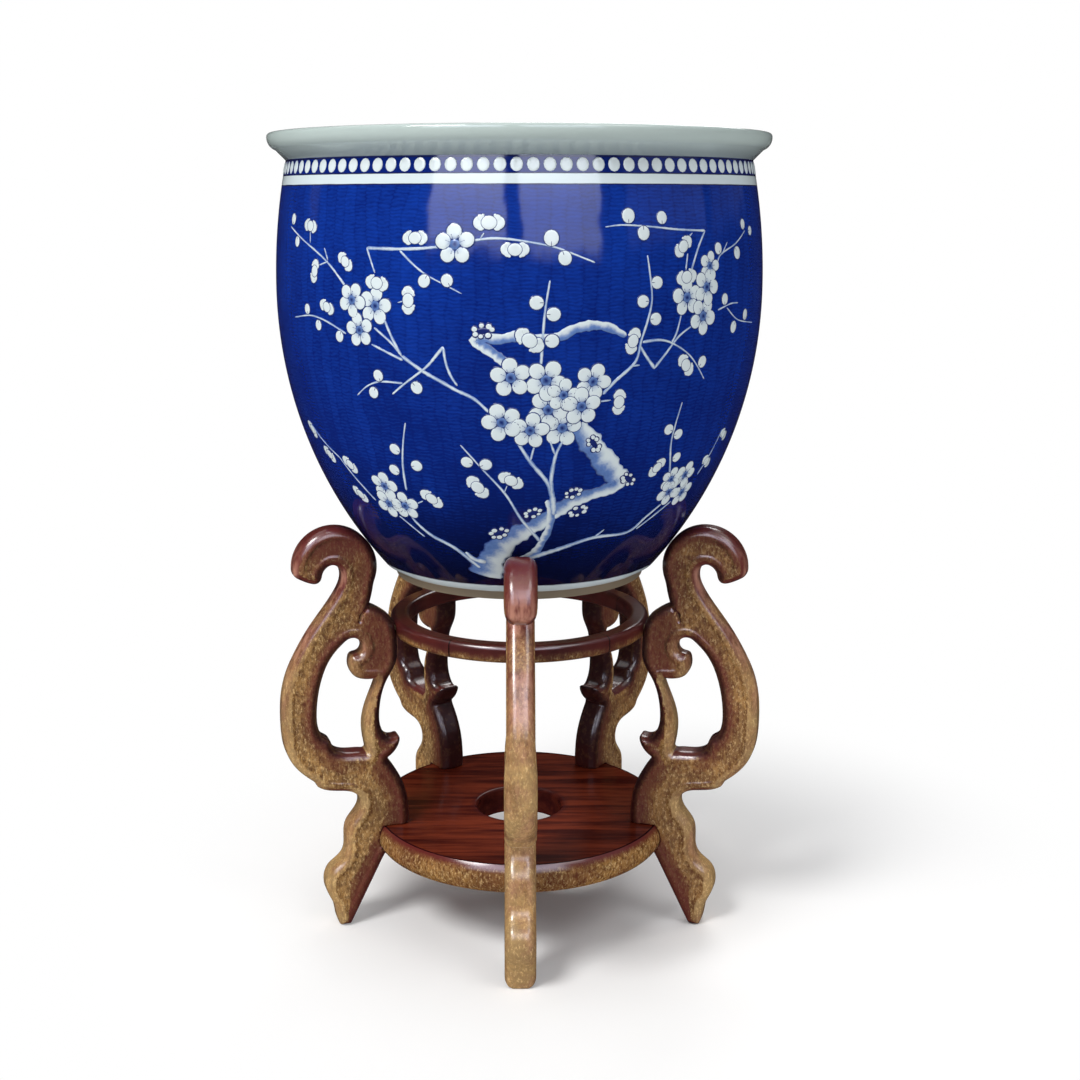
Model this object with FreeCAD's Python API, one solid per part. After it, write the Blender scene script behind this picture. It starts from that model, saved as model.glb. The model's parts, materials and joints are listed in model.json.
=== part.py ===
"""Round porcelain jardiniere standing in a carved hardwood stand with five scroll legs.

Millimetres, +Z up. The origin is on the floor, on the axis of the stand. The front leg
points along -Y and the others follow every fifth of a turn.

The bowl rests on the crowns of the five upper scrolls. A ring of five curved rails is
let into the knobs of the legs, and a round shelf is housed in the legs above the feet.
"""
import FreeCAD, Part
import math
import os
from FreeCAD import Vector

# ---- bowl ----
BOWL_HEIGHT = 410.0
RIM_RADIUS = 230.0
RIM_ROUND = 3.2               # rounding of the rim's outer edge
RIM_UNDER_BULGE = 0.17        # how full the underside of the rim is, as a share of its run
RIM_INNER_DROP = 2.5          # how far the flat of the rim slopes down towards the mouth
MOUTH_ROUND = 3.0             # rounding of the mouth's edge
NECK_RADIUS = 213.6
NECK_HEIGHT = 386.5           # above the bowl's foot
LIP_FLARE_HEIGHT = 9.0        # height of the straight flare under the rim
LIP_FLARE_WIDTH = 9.0
BELLY_RADIUS = 226.0
BELLY_HEIGHT = 270.0
BODY_ARC_RADIUS = 399.0       # curve of the body below the belly
BODY_ARC_END = 13.0           # height where the body turns in to its foot
FOOT_RADIUS = 121.5
FOOT_RING_HEIGHT = 7.0
FOOT_RING_WIDTH = 13.0
FOOT_RECESS = 8.0
FOOT_DRAFT = 1.5              # taper of the foot ring, outside and in
WALL = 9.5
FLOOR_THICKNESS = 16.0
FLOOR_CORNER_RISE = 34.0      # curve from wall to floor inside: its height,
FLOOR_CORNER_RUN = 41.0       # its width
FLOOR_CORNER_SAG = (14.0, 10.5)  # and its middle, in from the wall and up from the floor

# ---- stand: ring of curved rails ----
RING_OUTER_RADIUS = 127.0
RING_WIDTH = 19.0
RING_HEIGHT = 17.0
RING_BOTTOM = 289.5
RING_EDGE_ROUND = 5.0
RING_SEAM_TURN = 5.0          # degrees that the seams are off the middle between legs
RING_SEAM = 0.1               # glue line between two rails

# ---- stand: shelf ----
SHELF_TOP = 100.5
SHELF_THICKNESS = 27.5
SHELF_HOUSING_DEPTH = 22.5    # from the ring's outer face out to the shelf's edge
SHELF_NOSE = 5.2              # how far the rounded edge swells
SHELF_HOLE_RADIUS = 42.5
SHELF_HOLE_ROUND = 3.0
SHELF_LINE_WIDTH = 1.6        # sunk line that runs just inside the rounded edge
SHELF_LINE_DEPTH = 0.9

# ---- stand: legs ----
LEG_COUNT = 5
LEG_THICKNESS = 29.0
LEG_EDGE_ROUND = 3.0
LEG_CORNER_ROUND = 2.0
CROWN_RADIUS = 40.0           # top of the upper scroll, where the bowl rests
CROWN_CENTRE = (57.2, 363.2)
CROWN_START = 200.0           # degrees, where the crown leaves the back of the leg

# ---- fits and fixings ----
SEAT_CLEARANCE = 0.3          # bowl to crown
JOINT_CLEARANCE = 0.1         # wood to wood
DOWEL_RADIUS = 4.0
DOWEL_IN_RING = 13.0
DOWEL_IN_LEG = 18.0
PIN_RADIUS = 3.0
PIN_LENGTH = 24.0
SCREW_RADIUS = 2.1
SCREW_HEAD_RADIUS = 4.2
SCREW_LENGTH = 45.0
SCREW_TIP = 5.0
SCREW_SLOT_WIDTH = 1.1
SCREW_SLOT_DEPTH = 1.0
SCREW_INSET = 17.0            # from the shelf's edge in to the screw

# Leg outline. Each point is (distance outwards from the ring's outer face, height).
# The stretches run round the leg from the notch behind the scroll, over the crown and
# the curl, down the front to the foot and back up the inner side.
NOTCH = (25.5, 326.0)
SCROLL_BACK = [NOTCH, (22.3, 337.5)]
CURL_AND_FRONT = [
    (91.5, 355.2), (81.5, 350.5), (74.3, 349.9), (70.7, 353.4), (69.2, 359.2),
    (65.3, 364.8), (59.5, 367.0), (54.0, 364.0), (51.6, 357.5), (53.0, 348.5),
    (57.3, 340.0), (81.5, 307.0), (97.3, 281.5), (106.0, 263.0), (111.2, 242.0),
    (112.5, 222.0), (112.3, 206.0), (110.3, 190.0), (104.5, 175.0), (95.0, 163.0),
    (83.8, 153.5),
]
SPUR = (80.6, 147.8)
ANKLE_AND_FOOT = [
    SPUR, (72.5, 143.6), (61.0, 141.3), (49.5, 139.2), (42.2, 134.6), (39.6, 128.2),
    (41.3, 119.6), (46.8, 111.8), (52.2, 103.8), (54.3, 93.8), (54.4, 82.5),
    (56.8, 73.0), (63.0, 66.3), (70.8, 59.8), (75.3, 49.5), (74.6, 38.0),
    (70.4, 28.0), (67.0, 19.5), (65.8, 12.5), (62.5, 0.0),
]
HEEL = (51.5, 0.0)
HEEL_TOP = (18.4, 65.0)
S_CURVE = [
    HEEL_TOP, (0.0, 88.0), (-9.0, 102.0), (-9.3, 113.0), (-8.0, 127.0), (-4.5, 141.0),
    (1.5, 154.0), (12.0, 169.5),
]
LEAF_UNDER = [(12.0, 169.5), (4.8, 175.0), (0.0, 182.0), (-1.6, 188.5), (-0.7, 192.0)]
LEAF_AND_STEM = [
    (-0.7, 192.0), (4.5, 190.2), (10.0, 191.2), (14.7, 196.4), (17.6, 204.0),
    (18.4, 213.0), (17.2, 226.0), (14.0, 239.0), (8.8, 250.5), (3.2, 259.5),
    (-0.3, 268.5), (-1.2, 280.0), (-0.6, 293.0), (1.8, 305.0), (6.0, 313.0),
    (12.5, 318.6), (19.0, 322.8), NOTCH,
]
GAP_ROUND_KNOB = [
    (20.0, 251.5), (34.0, 252.0), (42.0, 256.0), (46.3, 264.0), (46.6, 271.5),
    (44.0, 277.3), (37.0, 279.3), (33.8, 284.0), (34.8, 289.2), (39.0, 293.0),
    (45.0, 293.4), (51.0, 289.6), (61.5, 278.8), (69.0, 266.2), (73.8, 252.8),
    (77.3, 238.0), (79.0, 224.0), (79.0, 213.0), (77.4, 205.3), (73.5, 198.5),
    (67.8, 194.5), (65.6, 189.5), (62.8, 184.3), (58.0, 181.4), (51.5, 179.8),
    (31.0, 177.5),
]
GAP_STEM = [
    (31.0, 177.5), (33.3, 190.5), (34.1, 204.5), (32.0, 217.5), (27.5, 231.0),
    (20.0, 251.5),
]

CORNERS = [
    NOTCH, CURL_AND_FRONT[-1], SPUR, ANKLE_AND_FOOT[-1], HEEL, LEAF_UNDER[0], LEAF_UNDER[-1],
    GAP_STEM[0], GAP_STEM[-1],
]
SHELF_RADIUS = RING_OUTER_RADIUS + SHELF_HOUSING_DEPTH
SHELF_BOTTOM = SHELF_TOP - SHELF_THICKNESS
RING_MIDDLE = RING_BOTTOM + RING_HEIGHT / 2
LEG_TURN = 360.0 / LEG_COUNT
AXIS = Vector(0, 0, 1)
ORIGIN = Vector(0, 0, 0)


def profile_point(point):
    """A point (radius, height) in the vertical half plane that holds the +X axis."""
    return Vector(point[0], 0, point[1])


def leg_point(point):
    """A point of the leg outline, placed outwards from the ring's outer face."""
    return Vector(RING_OUTER_RADIUS + point[0], 0, point[1])


def line(start, end):
    """A straight edge between two vectors."""
    return Part.LineSegment(start, end).toShape()


def arc(start, middle, end):
    """A round edge through three vectors."""
    return Part.Arc(start, middle, end).toShape()


def smooth(points, start_direction=None, end_direction=None):
    """A smooth edge through vectors, with set directions at its ends where given."""
    curve = Part.BSplineCurve()
    if start_direction is None and end_direction is None:
        curve.interpolate(points)
        return curve.toShape()
    directions = [start_direction or ORIGIN] + [ORIGIN] * (len(points) - 2)
    directions.append(end_direction or ORIGIN)
    flags = [direction.Length > 0 for direction in directions]
    curve.interpolate(Points=points, Tangents=directions, TangentFlags=flags)
    return curve.toShape()


def turned(shape, angle):
    """A copy of a shape, turned about the stand's axis by an angle in degrees."""
    copy = shape.copy()
    copy.rotate(ORIGIN, AXIS, angle)
    return copy


def revolved(edges):
    """The solid of revolution of a closed profile."""
    return Part.Face(Part.Wire(edges)).revolve(ORIGIN, AXIS, 360)


def bowl_base_height():
    """The height of the bowl's foot, where its body arc touches the five crowns."""
    arc_centre_radius = BELLY_RADIUS - BODY_ARC_RADIUS
    crown_radius = RING_OUTER_RADIUS + CROWN_CENTRE[0]
    reach = BODY_ARC_RADIUS + CROWN_RADIUS + SEAT_CLEARANCE
    rise = math.sqrt(reach**2 - (crown_radius - arc_centre_radius) ** 2)
    return CROWN_CENTRE[1] + rise - BELLY_HEIGHT


def circle_radius_at(height, centre_radius, centre_height, radius):
    """The distance from the axis to an arc at a height."""
    return centre_radius + math.sqrt(radius**2 - (height - centre_height) ** 2)


def arc_through(centre, radius, start_height, end_height):
    """An arc of the bowl's wall between two heights, bulging outwards."""
    heights = (start_height, (start_height + end_height) / 2, end_height)
    points = [
        profile_point((circle_radius_at(height, centre[0], centre[1], radius), height))
        for height in heights
    ]
    return arc(*points)


def upper_arc_radius(neck_radius, belly_radius):
    """The radius of the arc that leaves the belly upright and reaches the neck."""
    drop = belly_radius - neck_radius
    rise = NECK_HEIGHT - BELLY_HEIGHT
    return (rise**2 + drop**2) / (2 * drop)


def corner_middle(radius, height, rounding, inwards):
    """The middle of a quarter round under a corner; inwards is -1 or 1 across it."""
    sag = rounding * (1 - math.sqrt(0.5))
    return profile_point((radius + inwards * sag, height - sag))


def make_bowl():
    """The thrown and glazed bowl: foot ring, round body, neck and flat everted rim."""
    body_centre = (BELLY_RADIUS - BODY_ARC_RADIUS, BELLY_HEIGHT)
    shoulder_radius = upper_arc_radius(NECK_RADIUS, BELLY_RADIUS)
    shoulder_centre = (BELLY_RADIUS - shoulder_radius, BELLY_HEIGHT)
    body_end = profile_point((circle_radius_at(BODY_ARC_END, *body_centre, BODY_ARC_RADIUS), BODY_ARC_END))
    foot_top = profile_point((FOOT_RADIUS, FOOT_RING_HEIGHT))
    foot_edge = profile_point((FOOT_RADIUS - FOOT_DRAFT, 0))
    foot_inner = profile_point((FOOT_RADIUS - FOOT_RING_WIDTH, 0))
    recess_edge = profile_point((FOOT_RADIUS - FOOT_RING_WIDTH - FOOT_DRAFT, FOOT_RECESS))
    recess_middle = profile_point((0, FOOT_RECESS))

    neck = profile_point((NECK_RADIUS, NECK_HEIGHT))
    flare = profile_point((NECK_RADIUS + LIP_FLARE_WIDTH, NECK_HEIGHT + LIP_FLARE_HEIGHT))
    rim_low = profile_point((RIM_RADIUS, BOWL_HEIGHT - RIM_ROUND))
    flare_run = rim_low.sub(flare)
    bulge = Vector(flare_run.z, 0, -flare_run.x).multiply(RIM_UNDER_BULGE)
    rim_under = flare.add(rim_low).multiply(0.5).add(bulge)
    rim_top = profile_point((RIM_RADIUS - RIM_ROUND, BOWL_HEIGHT))
    rim_corner = corner_middle(RIM_RADIUS, BOWL_HEIGHT, RIM_ROUND, -1)
    mouth_radius = NECK_RADIUS - WALL
    mouth_height = BOWL_HEIGHT - RIM_INNER_DROP
    mouth_edge = profile_point((mouth_radius + MOUTH_ROUND, mouth_height))
    mouth_corner = corner_middle(mouth_radius, mouth_height, MOUTH_ROUND, 1)
    mouth_wall = profile_point((mouth_radius, mouth_height - MOUTH_ROUND))
    neck_inner = profile_point((mouth_radius, NECK_HEIGHT))

    inner_belly = BELLY_RADIUS - WALL
    inner_shoulder = upper_arc_radius(mouth_radius, inner_belly)
    inner_centre = (inner_belly - inner_shoulder, BELLY_HEIGHT)
    corner_height = FLOOR_THICKNESS + FLOOR_CORNER_RISE
    inner_arc = BODY_ARC_RADIUS - WALL
    corner_radius = circle_radius_at(corner_height, *body_centre, inner_arc)
    floor_edge = profile_point((corner_radius - FLOOR_CORNER_RUN, FLOOR_THICKNESS))
    floor_corner = profile_point((corner_radius - FLOOR_CORNER_SAG[0], FLOOR_THICKNESS + FLOOR_CORNER_SAG[1]))
    floor_middle = profile_point((0, FLOOR_THICKNESS))

    edges = [
        line(recess_middle, recess_edge),
        line(recess_edge, foot_inner),
        line(foot_inner, foot_edge),
        line(foot_edge, foot_top),
        line(foot_top, body_end),
        arc_through(body_centre, BODY_ARC_RADIUS, BODY_ARC_END, BELLY_HEIGHT),
        arc_through(shoulder_centre, shoulder_radius, BELLY_HEIGHT, NECK_HEIGHT),
        line(neck, flare),
        arc(flare, rim_under, rim_low),
        arc(rim_low, rim_corner, rim_top),
        line(rim_top, mouth_edge),
        arc(mouth_edge, mouth_corner, mouth_wall),
        line(mouth_wall, neck_inner),
        arc_through(inner_centre, inner_shoulder, NECK_HEIGHT, BELLY_HEIGHT),
        arc_through(body_centre, inner_arc, BELLY_HEIGHT, corner_height),
        arc(profile_point((corner_radius, corner_height)), floor_corner, floor_edge),
        line(floor_edge, floor_middle),
        line(floor_middle, recess_middle),
    ]
    bowl = revolved(edges)
    bowl.translate(Vector(0, 0, bowl_base_height()))
    return bowl


def make_shelf_blank(clearance):
    """The shelf's outline without its hole, larger by a clearance for the housings."""
    top = SHELF_TOP + clearance
    bottom = SHELF_BOTTOM - clearance
    shoulder = SHELF_RADIUS - SHELF_NOSE + clearance
    nose = profile_point((SHELF_RADIUS + clearance, (top + bottom) / 2))
    top_edge = profile_point((shoulder, top))
    bottom_edge = profile_point((shoulder, bottom))
    return revolved([
        line(profile_point((0, bottom)), bottom_edge),
        arc(bottom_edge, nose, top_edge),
        line(top_edge, profile_point((0, top))),
        line(profile_point((0, top)), profile_point((0, bottom))),
    ])


def make_shelf():
    """The round shelf: swelled edge, sunk line, central hole and screw holes."""
    shelf = make_shelf_blank(0)
    shelf = shelf.cut(Part.makeCylinder(SHELF_HOLE_RADIUS, SHELF_THICKNESS, Vector(0, 0, SHELF_BOTTOM)))
    rims = [
        edge for edge in shelf.Edges
        if edge.Curve.TypeId == "Part::GeomCircle" and abs(edge.Curve.Radius - SHELF_HOLE_RADIUS) < 0.01
    ]
    shelf = shelf.makeFillet(SHELF_HOLE_ROUND, rims)
    line_outer = SHELF_RADIUS - SHELF_NOSE
    sunk_base = Vector(0, 0, SHELF_TOP - SHELF_LINE_DEPTH)
    sunk_line = Part.makeCylinder(line_outer, 2 * SHELF_LINE_DEPTH, sunk_base).cut(
        Part.makeCylinder(line_outer - SHELF_LINE_WIDTH, 2 * SHELF_LINE_DEPTH, sunk_base)
    )
    return shelf.cut(sunk_line).cut(at_each_leg(make_screw_hole()))


def make_screw_body(clearance):
    """A countersunk screw, point up, larger by a clearance where it makes a hole."""
    shank = SCREW_RADIUS + clearance
    head = SCREW_HEAD_RADIUS + clearance
    base = Vector(SHELF_RADIUS - SCREW_INSET, 0, SHELF_BOTTOM)
    cone = Part.makeCone(head, shank, head - shank, base)
    shaft = Part.makeCylinder(shank, SCREW_LENGTH - SCREW_TIP, base)
    tip = Part.makeCone(shank, 0, SCREW_TIP, base + Vector(0, 0, SCREW_LENGTH - SCREW_TIP))
    return cone.fuse([shaft, tip]).removeSplitter()


def make_screw_hole():
    """The countersunk hole for one shelf screw, running on into the leg."""
    return make_screw_body(JOINT_CLEARANCE)


def make_screw():
    """One slotted countersunk wood screw that holds the shelf up to a leg."""
    slot = Part.makeBox(
        4 * SCREW_HEAD_RADIUS, SCREW_SLOT_WIDTH, SCREW_SLOT_DEPTH,
        Vector(SHELF_RADIUS - SCREW_INSET - 2 * SCREW_HEAD_RADIUS, -SCREW_SLOT_WIDTH / 2, SHELF_BOTTOM),
    )
    return make_screw_body(0).cut(slot)


def make_dowel(clearance):
    """The dowel that pins the ring to one leg, along the leg's radius."""
    start = Vector(RING_OUTER_RADIUS - DOWEL_IN_RING - clearance, 0, RING_MIDDLE)
    length = DOWEL_IN_RING + DOWEL_IN_LEG + 2 * clearance
    return Part.makeCylinder(DOWEL_RADIUS + clearance, length, start, Vector(1, 0, 0))


def seam_angle(index):
    """The angle of a ring seam, in degrees from the +X axis before placing at a leg."""
    return LEG_TURN * (index + 0.5) + RING_SEAM_TURN


def make_seam_pin(index, clearance):
    """The straight pin that bridges one seam of the ring."""
    length = PIN_LENGTH + 2 * clearance
    pin = Part.makeCylinder(
        PIN_RADIUS + clearance, length,
        Vector(RING_OUTER_RADIUS - RING_WIDTH / 2, -length / 2, RING_MIDDLE), Vector(0, 1, 0),
    )
    return turned(pin, seam_angle(index))


def make_ring_profile(clearance):
    """The rounded rectangular section of the ring, larger by a clearance."""
    section = Part.makeBox(
        RING_WIDTH + 2 * clearance, 10.0, RING_HEIGHT + 2 * clearance,
        Vector(RING_OUTER_RADIUS - RING_WIDTH - clearance, -5.0, RING_BOTTOM - clearance),
    )
    long_edges = [edge for edge in section.Edges if abs(edge.tangentAt(edge.FirstParameter).y) > 0.9]
    section = section.makeFillet(RING_EDGE_ROUND, long_edges)
    plane = [face for face in section.Faces if abs(face.normalAt(0, 0).y) > 0.9][0]
    flat = plane.copy()
    flat.translate(Vector(0, -flat.CenterOfMass.y, 0))
    return flat


def make_ring_rail(index):
    """One curved rail of the ring, centred near a leg, bored for its dowel and pins."""
    seam_gap = math.degrees(RING_SEAM / RING_OUTER_RADIUS)
    rail = make_ring_profile(0).revolve(ORIGIN, AXIS, LEG_TURN - seam_gap)
    rail = turned(rail, seam_angle(index - 1) + seam_gap / 2)
    bores = [
        turned(make_dowel(JOINT_CLEARANCE), LEG_TURN * index),
        make_seam_pin(index - 1, JOINT_CLEARANCE),
        make_seam_pin(index, JOINT_CLEARANCE),
    ]
    return rail.cut(bores)


def make_leg_face():
    """The sawn outline of a leg with the gap inside its C scroll."""
    centre = leg_point(CROWN_CENTRE)
    start_angle = math.radians(CROWN_START)
    crown_start = centre + Vector(math.cos(start_angle), 0, math.sin(start_angle)) * CROWN_RADIUS
    crown_end = centre + Vector(CROWN_RADIUS, 0, 0)
    up_crown = Vector(math.sin(start_angle), 0, -math.cos(start_angle))
    down = Vector(0, 0, -1)
    heel_lean = leg_point(HEEL_TOP).sub(leg_point(HEEL))
    outline = [
        smooth([leg_point(point) for point in SCROLL_BACK] + [crown_start], None, up_crown),
        arc(crown_start, centre + Vector(0, 0, CROWN_RADIUS), crown_end),
        smooth([crown_end] + [leg_point(point) for point in CURL_AND_FRONT], down, None),
        line(leg_point(CURL_AND_FRONT[-1]), leg_point(SPUR)),
        smooth([leg_point(point) for point in ANKLE_AND_FOOT]),
        line(leg_point(ANKLE_AND_FOOT[-1]), leg_point(HEEL)),
        line(leg_point(HEEL), leg_point(HEEL_TOP)),
        smooth([leg_point(point) for point in S_CURVE], heel_lean, None),
        smooth([leg_point(point) for point in LEAF_UNDER]),
        smooth([leg_point(point) for point in LEAF_AND_STEM]),
    ]
    gap = [smooth([leg_point(point) for point in stretch]) for stretch in (GAP_ROUND_KNOB, GAP_STEM)]
    return Part.Face(Part.Wire(outline)).cut(Part.Face(Part.Wire(gap))).Faces[0]


def make_leg():
    """A leg at +X: sawn, rounded along its edges, then cut for bowl, ring and shelf."""
    face = make_leg_face()
    face.translate(Vector(0, -LEG_THICKNESS / 2, 0))
    blank = face.extrude(Vector(0, LEG_THICKNESS, 0))
    blank = blank.makeFillet(LEG_CORNER_ROUND, corner_edges(blank))
    long_edges = [edge for edge in blank.Edges if on_side(edge)]
    blank = blank.makeFillet(LEG_EDGE_ROUND, long_edges)
    cutters = [
        make_shelf_blank(JOINT_CLEARANCE),
        make_ring_profile(JOINT_CLEARANCE).revolve(ORIGIN, AXIS, 360),
        make_screw_hole(),
        make_dowel(JOINT_CLEARANCE),
    ]
    return blank.cut(cutters)


def corner_edges(blank):
    """The edges that cross the leg's thickness at the corners of its outline."""
    corners = [leg_point(point) for point in CORNERS]
    return [
        edge for edge in blank.Edges
        if abs(edge.Vertexes[0].Point.y - edge.Vertexes[-1].Point.y) > LEG_THICKNESS / 2
        and any(math.hypot(edge.CenterOfMass.x - c.x, edge.CenterOfMass.z - c.z) < 0.01 for c in corners)
    ]


def on_side(edge):
    """Whether an edge of the leg blank runs along one of its two flat sides."""
    return all(abs(abs(vertex.Point.y) - LEG_THICKNESS / 2) < 0.01 for vertex in edge.Vertexes) and (
        abs(edge.Vertexes[0].Point.y - edge.Vertexes[-1].Point.y) < 0.01
    )


def at_each_leg(shape):
    """Copies of a shape modelled at +X, one at every leg."""
    return [turned(shape, LEG_TURN * index - 90) for index in range(LEG_COUNT)]


def export(name, shape):
    """Writes one named piece, or a group of equal pieces."""
    shape.exportStep(os.path.join("parts", name + ".step"))
    print(name, "solids", len(shape.Solids), "volume", round(shape.Volume), "valid", shape.isValid())


def main():
    """Builds every piece of the jardiniere and its stand."""
    os.makedirs("parts", exist_ok=True)
    print("bowl foot at", round(bowl_base_height(), 2))
    export("jardiniere", make_bowl())
    leg_names = ("leg_front", "leg_right", "leg_back_right", "leg_back_left", "leg_left")
    for name, leg in zip(leg_names, at_each_leg(make_leg())):
        export(name, leg)
    for index in range(LEG_COUNT):
        export(f"ring_rail_{index + 1}", turned(make_ring_rail(index), -90))
    export("shelf", make_shelf())
    pins = [turned(make_seam_pin(index, 0), -90) for index in range(LEG_COUNT)]
    export("ring_seam_pins", Part.makeCompound(pins))
    export("ring_dowels", Part.makeCompound(at_each_leg(make_dowel(0))))
    export("shelf_screws", Part.makeCompound(at_each_leg(make_screw())))


main()
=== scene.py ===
"""A blue-and-white prunus jardiniere standing in a carved hardwood stand with five legs.

Metres, +Z up, in the frame of the model. The ring, the shelf and the fixings keep the model's
own shapes and get their finishes here. The bowl is turned again, finer, to the model's section.
The five legs are carved anew from the model's own leg: rounded, waisted and creased. The bowl's
painting is thin raised glaze, laid on the wall from a sketch of the sprays seen from the front.
"""
from __future__ import annotations

import json
import logging
import math
import random
from collections.abc import Callable, Sequence
from dataclasses import dataclass, field
from enum import Enum

import bmesh
import bpy
import numpy as np
from mathutils import Euler, Matrix, Vector

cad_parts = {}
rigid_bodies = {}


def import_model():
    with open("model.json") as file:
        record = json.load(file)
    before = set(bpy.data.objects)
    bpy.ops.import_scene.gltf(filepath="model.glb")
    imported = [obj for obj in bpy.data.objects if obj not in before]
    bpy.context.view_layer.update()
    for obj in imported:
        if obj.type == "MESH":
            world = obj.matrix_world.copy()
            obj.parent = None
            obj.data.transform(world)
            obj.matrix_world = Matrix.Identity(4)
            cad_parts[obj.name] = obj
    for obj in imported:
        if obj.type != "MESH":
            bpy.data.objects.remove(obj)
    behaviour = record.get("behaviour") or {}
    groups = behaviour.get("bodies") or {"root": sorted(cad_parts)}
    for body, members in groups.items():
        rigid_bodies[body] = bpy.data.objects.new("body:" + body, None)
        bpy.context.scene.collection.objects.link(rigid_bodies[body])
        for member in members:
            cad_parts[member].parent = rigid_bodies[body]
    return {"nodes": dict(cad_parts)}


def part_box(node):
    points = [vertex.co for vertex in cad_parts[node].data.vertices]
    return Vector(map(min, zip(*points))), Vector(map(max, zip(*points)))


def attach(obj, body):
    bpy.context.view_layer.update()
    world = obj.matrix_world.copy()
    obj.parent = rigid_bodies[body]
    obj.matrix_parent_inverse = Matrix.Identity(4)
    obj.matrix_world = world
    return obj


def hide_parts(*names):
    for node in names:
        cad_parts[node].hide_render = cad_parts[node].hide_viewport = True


LOG = logging.getLogger("jardiniere")
MM = 0.001
Pair = tuple[float, float]
Point = tuple[float, float, float]
Colour = Point
Pixel = Pair
Array = np.ndarray
Tone = Callable[[float, float], float]
Socket = bpy.types.NodeSocket
NodeTree = bpy.types.NodeTree
Material = bpy.types.Material
Object = bpy.types.Object


# ---------------------------------------------------------------- node building

@dataclass(frozen=True)
class Mottle:
    """A noise: how fine it is per metre, its octaves and their strength, and how much it does."""

    scale: float | Socket
    detail: float = 2.0
    roughness: float = 0.5
    amount: float = 1.0


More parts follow.
